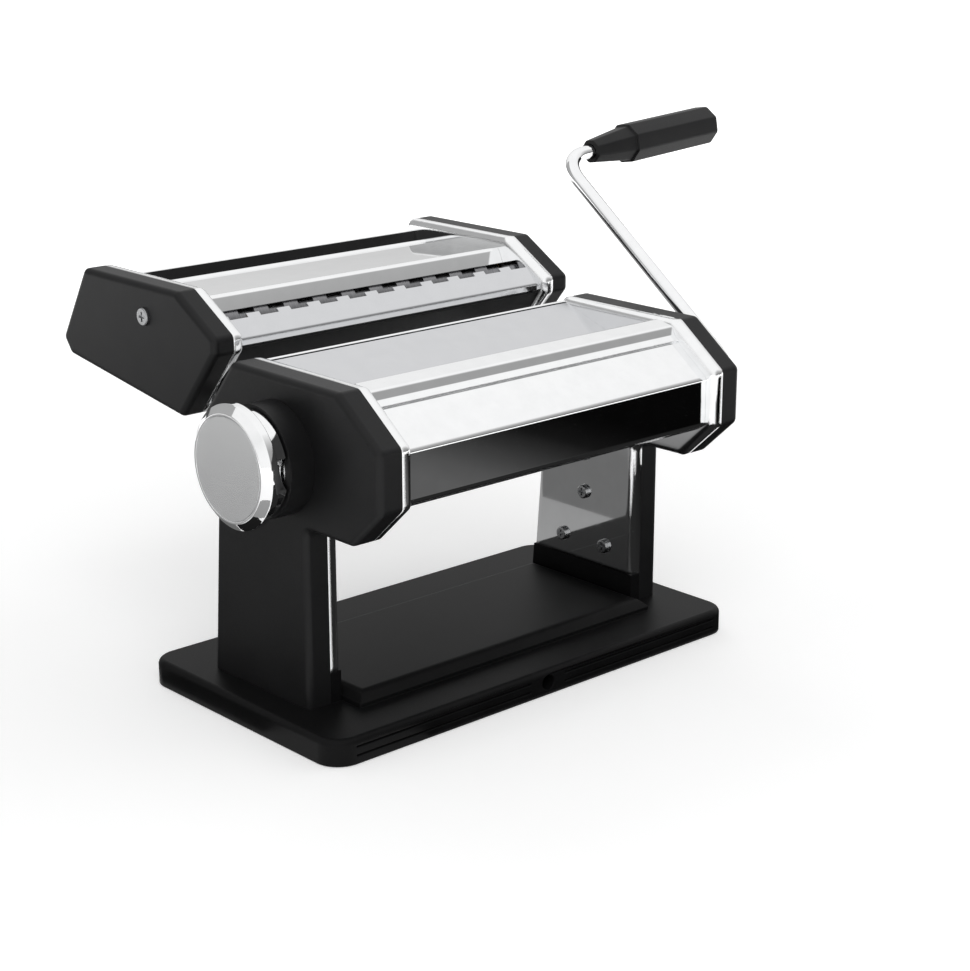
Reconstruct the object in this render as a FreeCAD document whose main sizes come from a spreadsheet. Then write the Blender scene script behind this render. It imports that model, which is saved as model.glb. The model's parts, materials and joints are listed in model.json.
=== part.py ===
import FreeCAD, Part
import math
import os
import Sketcher

Vector = FreeCAD.Vector
Rotation = FreeCAD.Rotation

# A hand-cranked pasta roller with a lift-off double cutter behind it.
# +X is the crank side, -Y the front, +Z up. The origin is the middle of the base on the table.
# Lengths are millimetres and angles degrees. A name that ends in _front is measured towards -Y,
# and one that ends in _rise or _drop from the height of the roller axes.
SIZES = {
    # Side frames and side covers
    "frame_gap": 152.0,
    "side_sheet": 1.5,
    "rim_depth": 3.5,
    "cover_depth": 10.0,
    "cover_wall": 2.0,
    "cover_round": 2.5,
    "corner_round": 3.0,
    "rim_round": 2.6,
    # Outline of the head and of the column under it
    "head_rise": 29.5,
    "head_drop": 24.0,
    "head_front": 69.2,
    "head_rear": 36.0,
    "brow_front": 46.9,
    "brow_drop": 16.8,
    "jaw_front": 53.0,
    "jaw_rise": 15.0,
    "nape_start": 14.0,
    "nape_drop": 27.0,
    "nape_foot_drop": 10.5,
    "column_front": 27.5,
    "column_neck": 25.5,
    "column_foot": 31.0,
    # Base
    "base_overhang": 12.5,
    "base_width": 115.0,
    "base_top": 10.0,
    "base_corner": 10.0,
    "base_wall": 2.6,
    "base_skirt": 6.0,
    "base_edge_round": 2.4,
    "rib_groove": 0.9,
    "rib_groove_height": 0.8,
    "plateau_top": 15.0,
    "plateau_front": 38.0,
    "plateau_rear": 30.0,
    "plateau_bevel": 3.5,
    "plateau_round": 4.0,
    "upstand_top": 22.0,
    "tongue_top": 40.0,
    "frame_screw_spread": 12.0,
    "cover_screw_low": 52.0,
    "cover_screw_inset": 10.0,
    "cover_screw_rear": 24.0,
    "cover_screw_drop": 4.5,
    "foot_radius": 7.0,
    "foot_recess": 2.0,
    "foot_inset": 13.5,
    "clamp_bore": 3.05,
    "clamp_depth": 20.0,
    "clamp_lug": 9.0,
    # Rollers and their drive
    "roller_radius": 16.0,
    "roller_length": 150.0,
    "axis_height": 102.5,
    "drive_front": 46.9,
    "widest_gap": 2.6,
    "eccentricity": 1.0,
    "journal_radius": 6.0,
    "bush_wall": 2.0,
    "bush_flange": 2.0,
    "bush_flange_width": 1.5,
    "gear_width": 6.5,
    "gear_addendum": 2.2,
    "gear_tooth_tip": 1.3,
    "gear_tooth_root": 3.2,
    "gear_hub_radius": 9.0,
    "shaft_radius": 4.0,
    "lobe_radius": 7.0,
    "lobe_length": 12.0,
    "bore_radius": 11.0,
    "bridge_sheet": 1.5,
    "bridge_width": 16.0,
    "tie_rod_radius": 4.0,
    "upper_rod_rear": 19.0,
    "upper_rod_rise": 8.5,
    "lower_rod_rear": 21.0,
    "lower_rod_drop": 14.0,
    "scraper_depth": 5.0,
    "scraper_thickness": 1.6,
    "front_scraper_angle": 300.0,
    "rear_scraper_angle": -42.0,
    "spigot_length": 2.7,
    # Sheet metal of the head
    "cover_sheet": 1.0,
    "front_inset": 4.0,
    "front_sink": 2.6,
    "front_bottom_drop": 10.0,
    "front_fold": 3.8,
    "sheet_bend": 1.6,
    "ridge_forward": 0.7,
    "ridge_lean": 1.4,
    "ridge_height": 3.3,
    "shelf_run": 9.4,
    "shelf_rise": 1.7,
    "flange_width": 3.0,
    "ridge_bend": 0.6,
    "front_mouth_angle": 57.0,
    "rear_mouth_angle": 96.0,
    "rear_guide_drop": 1.8,
    "rear_guide_inset": 2.4,
    "rear_sink": 1.0,
    "rear_lip": 3.0,
    # Thickness knob
    "boss_radius": 20.8,
    "boss_height": 10.0,
    "plate_radius": 17.0,
    "plate_thickness": 1.2,
    "index_radius": 13.0,
    "pin_radius": 1.2,
    "pin_depth": 0.5,
    "knob_gap": 0.6,
    "knob_barrel": 19.6,
    "knob_barrel_length": 5.9,
    "knob_radius": 22.7,
    "knob_edge": 3.0,
    "knob_bevel": 2.6,
    "knob_face": 18.6,
    "knob_web": 1.5,
    "spring_length": 7.2,
    "knob_lip": 1.0,
    "notch_radius": 6.5,
    "notch_offset": 2.5,
    "knob_square": 5.6,
    "cap_thickness": 0.9,
    "retainer_radius": 6.5,
    "retainer_thickness": 1.3,
    "retainer_shank": 6.0,
    # Crank
    "rod_radius": 3.0,
    "arm_plane": 116.0,
    "arm_length": 129.3,
    "arm_bend": 15.0,
    "arm_lean_angle": 53.0,
    "grip_tilt_angle": 5.0,
    "grip_start": 19.0,
    "grip_length": 84.0,
    "grip_radius": 9.0,
    "neck_length": 23.0,
    "neck_radius": 5.2,
    "shoulder_radius": 8.0,
    "grip_chamfer": 4.5,
    "grip_bore_depth": 60.0,
    "crank_play": 3.0,
    "socket_depth": 16.0,
    "tang_length": 5.0,
    "tang_thickness": 2.5,
    # Cutter attachment
    "cutter_rise": 49.5,
    "cutter_crown_front": 48.6,
    "cutter_crown_rear": 111.0,
    "cutter_nose": 25.0,
    "nose_top_rise": 35.5,
    "nose_low_rise": 29.5,
    "cutter_heel": 47.5,
    "heel_rise": 2.0,
    "cutter_tail": 129.0,
    "tail_top_rise": 19.5,
    "tail_low_rise": 13.0,
    "cutter_tail_foot": 124.0,
    "cutter_depth": 9.0,
    "cutter_wall": 1.6,
    "cutter_sheet": 1.0,
    "ring_radius": 8.5,
    "core_radius": 7.0,
    "ring_gap": 0.26,
    "wide_ring": 6.8,
    "wide_pitch": 14.2,
    "fine_ring": 1.7,
    "fine_pitch": 4.0,
    "wide_nip_rear": 49.3,
    "wide_nip_rise": 29.5,
    "wide_tilt_angle": 18.0,
    "fine_nip_rear": 100.5,
    "fine_nip_rise": 27.5,
    "cutter_journal": 4.6,
    "cutter_gear_width": 5.0,
    "cutter_gear_addendum": 0.75,
    "cutter_tooth_tip": 1.0,
    "cutter_tooth_root": 2.2,
    "comb_depth": 2.4,
    "comb_thickness": 1.4,
    "wide_front_comb_angle": 265.0,
    "wide_rear_comb_angle": 320.0,
    "fine_front_comb_angle": 225.0,
    "fine_rear_comb_angle": 315.0,
    "cutter_rod_radius": 3.0,
    "cutter_rod_upper": 69.5,
    "cutter_rod_drop": 12.5,
    "cutter_rod_lower": 78.0,
    "cutter_rod_rise": 2.5,
    "bridge_rear": 98.3,
    "bridge_bend": 4.7,
    "bridge_rise_run": 2.7,
    "bridge_rise": 1.6,
    "bridge_front": 57.0,
    "bridge_ridge": 54.6,
    "bridge_drop": 6.2,
    "bridge_slack": 1.2,
    "bridge_lip": 11.0,
    "bridge_crest": 4.7,
    "crest_width": 2.0,
    "crest_slope": 0.8,
    "crest_run": 2.5,
    "crest_fall": 5.4,
    "guide_run": 8.5,
    "guide_fall": 7.0,
    "guide_lip": 2.7,
    "guide_nose": 3.0,
    "guide_sink": 2.3,
    "guide_notch": 8.3,
    "guide_notch_depth": 1.4,
    "guide_heel": 1.6,
    "guide_heel_rise": 2.8,
    "band_inset": 3.8,
    "band_slope": 2.6,
    "band_height": 7.4,
    "band_drop": 4.8,
    "tail_lip": 7.8,
    "tail_inset": 3.2,
    "tail_rise": 1.2,
    "tail_sink": 0.4,
    "crown_inset": 1.4,
    "hanger_sheet": 1.5,
    "hanger_width": 5.0,
    "hanger_arm": 14.0,
    "hanger_height": 7.0,
    "hanger_slope": 1.5,
    "rail_wall": 1.5,
    "rail_height": 10.5,
    # Screws and fits
    "screw_radius": 1.5,
    "screw_head": 2.9,
    "screw_head_height": 1.7,
    "boss_wall": 2.2,
    "cap_screw_head": 3.5,
    "cap_screw_height": 1.2,
    "thread_depth": 6.0,
    "collar_width": 1.0,
    "press_fit": 0.02,
    "running_fit": 0.05,
    "loose_fit": 0.3,
    "overcut": 0.5,
}
GEAR_TEETH = 12
WIDE_RINGS = 11
FINE_RINGS = 37
KNOB_LOBES = 3
INDEX_STEPS = 9
INDEX_TURN = 180.0
# Where the index pin stands at the widest setting, from +Y towards +Z
PIN_START = 0.0
BASE_RIBS = 3

doc = FreeCAD.newDocument("pasta_roller_machine")
sheet = doc.addObject("Spreadsheet::Sheet", "Sizes")
for row, (alias, number) in enumerate(SIZES.items(), 1):
    sheet.set(f"A{row}", alias)
    sheet.set(f"B{row}", str(number))
    sheet.setAlias(f"B{row}", alias)
doc.recompute()


class Size:
    """A number together with the sheet expression that gives it."""

    def __init__(self, value, text):
        self.value = value
        self.text = text

    def __float__(self):
        return float(self.value)

    def __neg__(self):
        return Size(-self.value, f"(-1 * {self.text})")

    def __add__(self, other):
        other = as_size(other)
        return Size(self.value + other.value, f"({self.text} + {other.text})")

    def __radd__(self, other):
        return as_size(other) + self

    def __sub__(self, other):
        other = as_size(other)
        return Size(self.value - other.value, f"({self.text} - {other.text})")

    def __rsub__(self, other):
        return as_size(other) - self

    def __mul__(self, other):
        other = as_size(other)
        return Size(self.value * other.value, f"({self.text} * {other.text})")

    def __rmul__(self, other):
        return as_size(other) * self

    def __truediv__(self, other):
        other = as_size(other)
        return Size(self.value / other.value, f"({self.text} / {other.text})")


def as_size(number):
    if isinstance(number, Size):
        return number
    return Size(float(number), repr(float(number)))


class Sheet:
    """The sheet's cells as attributes."""

    def __getattr__(self, alias):
        return Size(float(sheet.get(alias)), f"Sizes.{alias}")


size = Sheet()


class Circle:
    """A round loop of a profile."""

    def __init__(self, at, radius):
        self.at = at
        self.radius = radius


def bind(item, name, value):
    """Set a property of an object from a size, keeping the sheet's expression."""
    item.setExpression(name, as_size(value).text)


# Profiles, bodies and their features

def pin_point(sketch, geometry, end, point):
    for kind, value in zip(("DistanceX", "DistanceY"), point):
        value = as_size(value)
        index = sketch.addConstraint(Sketcher.Constraint(kind, -1, 1, geometry, end, value.value))
        sketch.setExpression(f"Constraints[{index}]", value.text)


def draw_loop(sketch, loop):
    first = len(sketch.Geometry)
    if isinstance(loop, Circle):
        centre = Vector(float(loop.at[0]), float(loop.at[1]), 0)
        sketch.addGeometry(Part.Circle(centre, Vector(0, 0, 1), float(loop.radius)), False)
        pin_point(sketch, first, 3, loop.at)
        index = sketch.addConstraint(Sketcher.Constraint("Radius", first, float(loop.radius)))
        sketch.setExpression(f"Constraints[{index}]", as_size(loop.radius).text)
        return
    corners = [Vector(float(x), float(y), 0) for x, y in loop]
    ends = corners[1:] + corners[:1]
    sketch.addGeometry([Part.LineSegment(a, b) for a, b in zip(corners, ends)], False)
    count = len(corners)
    for i in range(count):
        following = first + (i + 1) % count
        sketch.addConstraint(Sketcher.Constraint("Coincident", first + i, 2, following, 1))
    for i, point in enumerate(loop):
        pin_point(sketch, first + i, 1, point)


def new_body(label):
    piece = doc.addObject("PartDesign::Body", label)
    piece.Label = label
    return piece


def profile(piece, role, start, loops):
    """A sketch on one of the body's own planes, moved along the plane's normal."""
    sketch = piece.newObject("Sketcher::SketchObject", piece.Name + "_profile")
    plane = next(item for item in piece.Origin.OriginFeatures if item.Role == role)
    sketch.AttachmentSupport = [(plane, "")]
    sketch.MapMode = "FlatFace"
    bind(sketch, "AttachmentOffset.Base.z", start)
    for loop in loops:
        draw_loop(sketch, loop)
    return sketch


def pad(piece, role, start, length, loops):
    sketch = profile(piece, role, start, loops)
    feature = piece.newObject("PartDesign::Pad", piece.Name + "_pad")
    feature.Profile = sketch
    bind(feature, "Length", length)
    piece.Tip = feature
    doc.recompute()


def cut(piece, role, start, length, loops):
    """A pocket from start along the plane's normal, which has to take something away."""
    before = piece.Tip.Shape.Volume
    sketch = profile(piece, role, start, loops)
    feature = piece.newObject("PartDesign::Pocket", piece.Name + "_cut")
    feature.Profile = sketch
    feature.Reversed = True
    bind(feature, "Length", length)
    piece.Tip = feature
    doc.recompute()
    if feature.Shape.Volume >= before:
        raise RuntimeError(f"a cut in {piece.Label} takes nothing away")


def dress(piece, kind, value_name, value, wanted, of_faces=False):
    """A fillet, chamfer or hollow on the edges or faces that pass a test."""
    base = piece.Tip
    word, pieces = ("Face", base.Shape.Faces) if of_faces else ("Edge", base.Shape.Edges)
    names = [f"{word}{i}" for i, item in enumerate(pieces, 1) if wanted(item)]
    feature = piece.newObject(f"PartDesign::{kind}", f"{piece.Name}_{kind.lower()}")
    feature.Base = (base, names)
    bind(feature, value_name, value)
    piece.Tip = feature
    return feature


def round_edges(piece, radius, wanted):
    dress(piece, "Fillet", "Radius", radius, wanted)
    doc.recompute()


def hollow(piece, wall, is_open):
    before = piece.Tip.Shape.Volume
    feature = dress(piece, "Thickness", "Value", wall, is_open, of_faces=True)
    feature.Reversed = True
    feature.Join = "Intersection"
    doc.recompute()
    if feature.Shape.Volume >= before:
        raise RuntimeError(f"{piece.Label} isn't hollow")


def turned(label, at, outline):
    """A piece turned about an X axis through at, from an outline of (x, radius) points."""
    piece = new_body(label)
    sketch = profile(piece, "XY_Plane", 0, [outline])
    feature = piece.newObject("PartDesign::Revolution", label + "_turning")
    feature.Profile = sketch
    feature.ReferenceAxis = (sketch, ["H_Axis"])
    feature.Angle = 360.0
    piece.Tip = feature
    bind(piece, "Placement.Base.y", at[0])
    bind(piece, "Placement.Base.z", at[1])
    doc.recompute()
    return piece


def rod(label, at, radius, start, length):
    """A plain round rod along X."""
    piece = doc.addObject("Part::Cylinder", label)
    piece.Placement = FreeCAD.Placement(Vector(), Rotation(Vector(0, 1, 0), 90))
    bind(piece, "Radius", radius)
    bind(piece, "Height", length)
    bind(piece, "Placement.Base.x", start)
    bind(piece, "Placement.Base.y", at[0])
    bind(piece, "Placement.Base.z", at[1])
    return piece


def group(label, pieces):
    """Separate solids of the same kind that share one node."""
    item = doc.addObject("Part::Compound", label)
    item.Label = label
    item.Links = pieces
    return item


def solid(label, shape, placement=None):
    item = doc.addObject("Part::Feature", label)
    item.Label = label
    item.Shape = shape
    if placement:
        item.Placement = placement
    return item


# Tests that pick edges and faces

def along(axis):
    def test(edge):
        if edge.Curve.TypeId != "Part::GeomLine":
            return False
        return abs(getattr(edge.Curve.Direction, axis)) > 0.999
    return test


def flat_at(axis, value):
    """All of an edge or face lies at one coordinate."""
    def test(item):
        box = item.BoundBox
        low = getattr(box, axis.upper() + "Min")
        high = getattr(box, axis.upper() + "Max")
        return abs(low - float(value)) < 1e-4 and abs(high - float(value)) < 1e-4
    return test


def both(first, second):
    return lambda item: first(item) and second(item)


def higher_than(value):
    return lambda item: item.CenterOfMass.z > float(value) + 1e-4


# Places that several pieces share

inner = size.frame_gap / 2
head_top = size.axis_height + size.head_rise
head_bottom = size.axis_height - size.head_drop
nape_foot = size.axis_height - size.nape_foot_drop
front_bottom = size.axis_height - size.front_bottom_drop
upper_rod_height = size.axis_height + size.upper_rod_rise
lower_rod_height = size.axis_height - size.lower_rod_drop
cover_screw_top = size.axis_height - size.cover_screw_drop
cutter_top = size.axis_height + size.cutter_rise
cutter_nose_top = size.axis_height + size.nose_top_rise
cutter_nose_low = size.axis_height + size.nose_low_rise
cutter_heel_low = size.axis_height + size.heel_rise
cutter_tail_top = size.axis_height + size.tail_top_rise
cutter_tail_low = size.axis_height + size.tail_low_rise
wide_nip_height = size.axis_height + size.wide_nip_rise
fine_nip_height = size.axis_height + size.fine_nip_rise
plate = inner + size.side_sheet
rim = plate + size.rim_depth
outer = rim + size.cover_depth
cutter_outer = rim + size.cutter_depth
wall_inside = outer - size.cover_wall
roller_end = size.roller_length / 2
gear_start = plate + size.bush_flange_width + size.loose_fit
drive_axis = (-size.drive_front, size.axis_height)
roller_axis = (2 * size.roller_radius + size.widest_gap - size.drive_front, size.axis_height)
knob_axis = (roller_axis[0] - size.eccentricity, size.axis_height)
boss_face = outer + size.boss_height
knob_back = boss_face + size.knob_gap
neck_hole = size.gear_hub_radius + size.eccentricity + 2 * size.loose_fit
closed_distance = 2 * size.roller_radius + size.widest_gap - 2 * size.eccentricity
gear_pitch = (closed_distance + size.eccentricity) / 2
gear_tip = gear_pitch + size.gear_addendum
gear_root = closed_distance - gear_tip - size.loose_fit
bush_outside = size.journal_radius + size.running_fit + size.bush_wall
shaft_bush_outside = size.shaft_radius + size.running_fit + size.bush_wall
crank_bore = size.rod_radius + size.running_fit
screw_hole = size.screw_radius + size.running_fit
frame_screw_height = (size.upstand_top + size.tongue_top) / 2
frame_screw_points = [
    (-size.frame_screw_spread, frame_screw_height),
    (size.frame_screw_spread, frame_screw_height),
]
cover_screw_points = [
    (0.0, size.cover_screw_low),
    (0.0, head_bottom - size.cover_screw_inset),
    (size.cover_screw_rear, cover_screw_top),
]
SIDES = ((1, "right"), (-1, "left"))


def outward(side, start, length):
    """Where a stretch that runs outwards from start begins, seen along +X."""
    return start if side > 0 else -(start + length)


def head_outline(foot):
    """Head and column seen from the side, as (y, z) points."""
    return [
        (-size.column_front, foot),
        (-size.column_front, head_bottom),
        (-size.jaw_front, head_bottom),
        (-size.head_front, head_bottom + size.jaw_rise),
        (-size.head_front, head_top - size.brow_drop),
        (-size.brow_front, head_top),
        (size.nape_start, head_top),
        (size.head_rear, head_top - size.nape_drop),
        (size.head_rear, nape_foot),
        (size.column_neck, head_bottom),
        (column_rear(foot), foot),
    ]


def column_rear(height):
    """Rear edge of the column, which leans from the neck to the foot."""
    lean = (size.column_foot - size.column_neck) / (head_bottom - size.base_top)
    return size.column_neck + lean * (head_bottom - height)


def cutter_outline():
    """The cutter attachment seen from the side, as (y, z) points."""
    return [
        (size.cutter_crown_rear, cutter_top),
        (size.cutter_crown_front, cutter_top),
        (size.cutter_nose, cutter_nose_top),
        (size.cutter_nose, cutter_nose_low),
        (size.cutter_heel, cutter_heel_low),
        (size.cutter_tail_foot, cutter_tail_low),
        (size.cutter_tail, cutter_tail_top),
    ]


# Frame and base

def base_moulding():
    piece = new_body("base_moulding")
    half_x = outer + size.base_overhang
    half_y = size.base_width / 2
    pad(piece, "XY_Plane", 0, size.base_top, [rectangle(half_x, half_y)])
    round_edges(piece, size.base_corner, along("z"))
    round_edges(piece, size.base_edge_round, flat_at("z", size.base_top))
    rib_grooves(piece, half_x - size.base_corner, half_y)
    rise = size.plateau_top - size.base_top
    edge = inner - size.loose_fit
    front, rear = -size.plateau_front, size.plateau_rear
    flat = [(-edge, front), (edge, front), (edge, rear), (-edge, rear)]
    pad(piece, "XY_Plane", size.base_top, rise, [flat])
    dress(piece, "Chamfer", "Size", size.plateau_bevel, flat_at("z", size.plateau_top))
    doc.recompute()
    round_edges(piece, size.plateau_round, flat_at("z", size.plateau_top))
    for side, _ in SIDES:
        upstand_pads(piece, side)
    skirt = size.base_skirt
    depth = size.base_top - size.base_wall
    cut(piece, "XY_Plane", 0, depth, [rectangle(half_x - skirt, half_y - skirt)])
    x, front, rear = edge - skirt, front + skirt, rear - skirt
    cut(piece, "XY_Plane", 0, depth + rise, [[(-x, front), (x, front), (x, rear), (-x, rear)]])
    bosses = [Circle(at, size.foot_radius + size.base_wall) for at in foot_points()]
    pad(piece, "XY_Plane", 0, size.base_top - size.base_wall / 2, bosses)
    recesses = [Circle(at, size.foot_radius + size.running_fit) for at in foot_points()]
    cut(piece, "XY_Plane", 0, size.foot_recess, recesses)
    clamp_socket(piece, half_y)
    return piece


def rib_grooves(piece, half_length, half_y):
    """Grooves along the front and the rear that leave ribs between them."""
    depth, half = size.rib_groove, size.rib_groove_height / 2
    grooves = []
    for number in range(1, BASE_RIBS):
        middle = number * size.base_top / BASE_RIBS
        low, high = middle - half, middle + half
        for y, inside in ((-half_y, depth - half_y), (half_y, half_y - depth)):
            grooves.append([(y, low), (inside, low), (inside, high), (y, high)])
    cut(piece, "YZ_Plane", -half_length, 2 * half_length, grooves)


def clamp_socket(piece, half_y):
    """A lug in the middle of the front edge with a level hole for a table clamp's pin."""
    lug = size.clamp_lug
    inside = size.clamp_depth + size.base_wall - half_y
    block = [(-lug, -half_y), (lug, -half_y), (lug, inside), (-lug, inside)]
    pad(piece, "XY_Plane", 0, size.base_top - size.base_edge_round, [block])
    mouth = Circle((0.0, size.base_top / 2), size.clamp_bore)
    cut(piece, "XZ_Plane", half_y - size.clamp_depth, size.clamp_depth, [mouth])


def rectangle(half_x, half_y):
    return [(-half_x, -half_y), (half_x, -half_y), (half_x, half_y), (-half_x, half_y)]


def foot_points():
    x = outer + size.base_overhang - size.foot_inset
    y = size.base_width / 2 - size.foot_inset
    return [(x, y), (-x, y), (x, -y), (-x, -y)]


def upstand_pads(piece, side):
    """The black foot under a chromed frame, and the tongue that the frame is screwed to."""
    front = -size.column_front
    foot, top = size.base_top, size.upstand_top
    width = rim - inner
    pad(piece, "YZ_Plane", outward(side, inner, width), width,
        [[(front, foot), (front, top), (column_rear(top), top), (column_rear(foot), foot)]])
    fit = size.side_sheet + size.loose_fit
    width = size.rim_depth - 2 * size.running_fit
    front, rear = front + fit, size.column_neck - fit
    pad(piece, "YZ_Plane", outward(side, plate + size.running_fit, width), width,
        [[(front, top), (front, size.tongue_top), (rear, size.tongue_top), (rear, top)]])
    holes = [Circle(at, screw_hole) for at in frame_screw_points]
    cut(piece, "YZ_Plane", outward(side, plate, size.rim_depth), size.rim_depth, holes)


def rubber_feet():
    feet = []
    for x, y in foot_points():
        foot = doc.addObject("Part::Cylinder", "rubber_foot")
        bind(foot, "Radius", size.foot_radius)
        bind(foot, "Height", size.foot_recess)
        bind(foot, "Placement.Base.x", x)
        bind(foot, "Placement.Base.y", y)
        feet.append(foot)
    return group("rubber_feet", feet)


def side_frame(side, name):
    piece = new_body(f"{name}_side_frame")
    depth = size.side_sheet + size.rim_depth
    pad(piece, "YZ_Plane", outward(side, inner, depth), depth, [head_outline(size.upstand_top)])
    round_edges(piece, size.corner_round, both(along("x"), higher_than(size.upstand_top)))
    is_outer = flat_at("x", rim * side)
    is_bottom = flat_at("z", size.upstand_top)
    hollow(piece, size.side_sheet, lambda face: is_outer(face) or is_bottom(face))
    round_edges(piece, size.rim_round, both(flat_at("x", inner * side), higher_than(size.upstand_top)))
    holes = [Circle(drive_axis, bush_outside)]
    holes.append(Circle(knob_axis, shaft_bush_outside if side < 0 else neck_hole))
    holes += [Circle(at, screw_hole) for at in frame_screw_points + cover_screw_points]
    cut(piece, "YZ_Plane", outward(side, inner - size.overcut, size.side_sheet + 2 * size.overcut),
        size.side_sheet + 2 * size.overcut, holes)
    return piece


def side_cover(side, name):
    piece = new_body(f"{name}_side_cover")
    depth = size.cover_depth
    pad(piece, "YZ_Plane", outward(side, rim, depth), depth, [head_outline(size.base_top)])
    round_edges(piece, size.corner_round, both(along("x"), higher_than(size.base_top)))
    hollow(piece, size.cover_wall, flat_at("x", rim * side))
    round_edges(piece, size.cover_round, both(flat_at("x", outer * side), higher_than(size.base_top)))
    reach = wall_inside - plate
    bosses = [Circle(at, screw_hole + size.boss_wall) for at in cover_screw_points]
    pad(piece, "YZ_Plane", outward(side, plate, reach), reach, bosses)
    pilot = reach - size.cover_wall
    pilots = [Circle(at, screw_hole) for at in cover_screw_points]
    cut(piece, "YZ_Plane", outward(side, plate, pilot), pilot, pilots)
    if side > 0:
        through = size.cover_wall + 2 * size.overcut
        hole = Circle(drive_axis, size.rod_radius + size.crank_play)
        cut(piece, "YZ_Plane", wall_inside - size.overcut, through, [hole])
    else:
        knob_boss(piece)
    return piece


def knob_boss(piece):
    """The round boss that carries the index plate behind the knob."""
    height = size.boss_height + size.cover_wall
    pad(piece, "YZ_Plane", -boss_face, height, [Circle(knob_axis, size.boss_radius)])
    floor = size.cover_wall + size.plate_thickness
    inside = Circle(knob_axis, size.boss_radius - size.cover_wall)
    seat = Circle(knob_axis, size.plate_radius + size.running_fit)
    hole = Circle(knob_axis, size.shaft_radius + 2 * size.loose_fit)
    cut(piece, "YZ_Plane", floor - boss_face, height, [inside])
    cut(piece, "YZ_Plane", -boss_face, size.plate_thickness, [seat])
    cut(piece, "YZ_Plane", -boss_face, height, [hole])


def screw_shape(head_radius, head_height, length):
    """A cross-head screw along +X with the underside of its head at x = 0."""
    axis = Vector(1, 0, 0)
    head = Part.makeCylinder(head_radius, head_height, Vector(-head_height, 0, 0), axis)
    head = head.makeFillet(head_height * 0.4, [e for e in head.Edges if flat_at("x", -head_height)(e)])
    shank = Part.makeCylinder(float(size.screw_radius), length, Vector(), axis)
    width = head_radius * 0.28
    depth = head_height * 0.6
    for a, b in ((width, head_radius * 1.1), (head_radius * 1.1, width)):
        head = head.cut(Part.makeBox(depth, a, b, Vector(-head_height, -a / 2, -b / 2)))
    return head.fuse(shank).removeSplitter()


def screws(label, seats, head_radius, head_height, length):
    """Screws at (x, y, z, side) seats, pointing along side * X."""
    shapes = []
    for x, y, z, side in seats:
        shape = screw_shape(float(head_radius), float(head_height), float(length))
        turn = Rotation(Vector(0, 0, 1), 0 if side > 0 else 180)
        shape.Placement = FreeCAD.Placement(Vector(float(x), float(y), float(z)), turn)
        shapes.append(shape)
    return solid(label, Part.makeCompound(shapes))


def frame_screws():
    seats = [(inner * side, y, z, side) for side, _ in SIDES for y, z in frame_screw_points]
    length = size.side_sheet + size.rim_depth - size.overcut
    return screws("frame_screws", seats, size.screw_head, size.screw_head_height, length)


def cover_screws():
    seats = [(inner * side, y, z, side) for side, _ in SIDES for y, z in cover_screw_points]
    length = wall_inside - inner - size.cover_wall - size.overcut
    return screws("cover_screws", seats, size.screw_head, size.screw_head_height, length)


def sheet_shape(corners, bend, thickness, half_length):
    """Sheet metal along X: a path of straight runs and bends, thickened on its left side."""
    points = [Vector(0, float(y), float(z)) for y, z in corners]
    thickness = float(thickness)
    spots = []

    def normal(a, b):
        run = (b - a).normalize()
        return Vector(0, -run.z, run.y)

    spots.append(("line", points[0], normal(points[0], points[1])))
    for before, corner, after in zip(points, points[1:], points[2:]):
        n_in, n_out = normal(before, corner), normal(corner, after)
        d_in, d_out = (corner - before).normalize(), (after - corner).normalize()
        turn = math.acos(max(-1.0, min(1.0, d_in.dot(d_out))))
        left = d_in.y * d_out.z - d_in.z * d_out.y > 0
        radius = float(bend) + (thickness if left else 0.0)
        reach = radius * math.tan(turn / 2)
        middle_normal = (n_in + n_out).normalize()
        centre = corner + middle_normal * (radius / math.cos(turn / 2) * (1 if left else -1))
        bend_middle = centre - middle_normal * (radius * (1 if left else -1))
        spots.append(("line", corner - d_in * reach, n_in))
        spots.append(("arc", bend_middle, middle_normal))
        spots.append(("line", corner + d_out * reach, n_out))
    spots.append(("line", points[-1], normal(points[-2], points[-1])))

    def edges(offset):
        places = [(kind, place + direction * offset) for kind, place, direction in spots]
        made = []
        i = 0
        while i + 1 < len(places):
            if places[i + 1][0] == "arc":
                made.append(Part.Arc(places[i][1], places[i + 1][1], places[i + 2][1]).toShape())
                i += 2
            else:
                made.append(Part.LineSegment(places[i][1], places[i + 1][1]).toShape())
                i += 1
        return made, places[0][1], places[-1][1]

    outside, start_out, end_out = edges(0.0)
    inside, start_in, end_in = edges(thickness)
    caps = [Part.makeLine(start_out, start_in), Part.makeLine(end_out, end_in)]
    wire = Part.Wire(Part.__sortEdges__(outside + inside + caps))
    half = float(half_length)
    face = Part.Face(wire)
    face.translate(Vector(-half, 0, 0))
    return face.extrude(Vector(2 * half, 0, 0))


def bent_sheet(label, corners, bend, thickness, half_length):
    return solid(label, sheet_shape(corners, bend, thickness, half_length))


def polar(at, radius, angle):
    """A point round an axis, angle from +Y towards +Z."""
    turn = math.radians(angle)
    return (float(at[0]) + float(radius) * math.cos(turn), float(at[1]) + float(radius) * math.sin(turn))


def front_cover_points():
    front = size.head_front - size.front_inset
    shoulder = head_top - size.brow_drop - size.front_sink
    slope = size.brow_drop / (size.head_front - size.brow_front)
    top = shoulder + slope * (front - size.brow_front)
    return [
        (-size.brow_front, top),
        (-front, shoulder),
        (-front, front_bottom),
        (size.front_fold - front, front_bottom),
    ]


def brow_line():
    """The top edge of the front slope, and the direction down it."""
    edge, shoulder = [Vector(0, float(y), float(z)) for y, z in front_cover_points()[:2]]
    return edge, (shoulder - edge).normalize()


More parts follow.
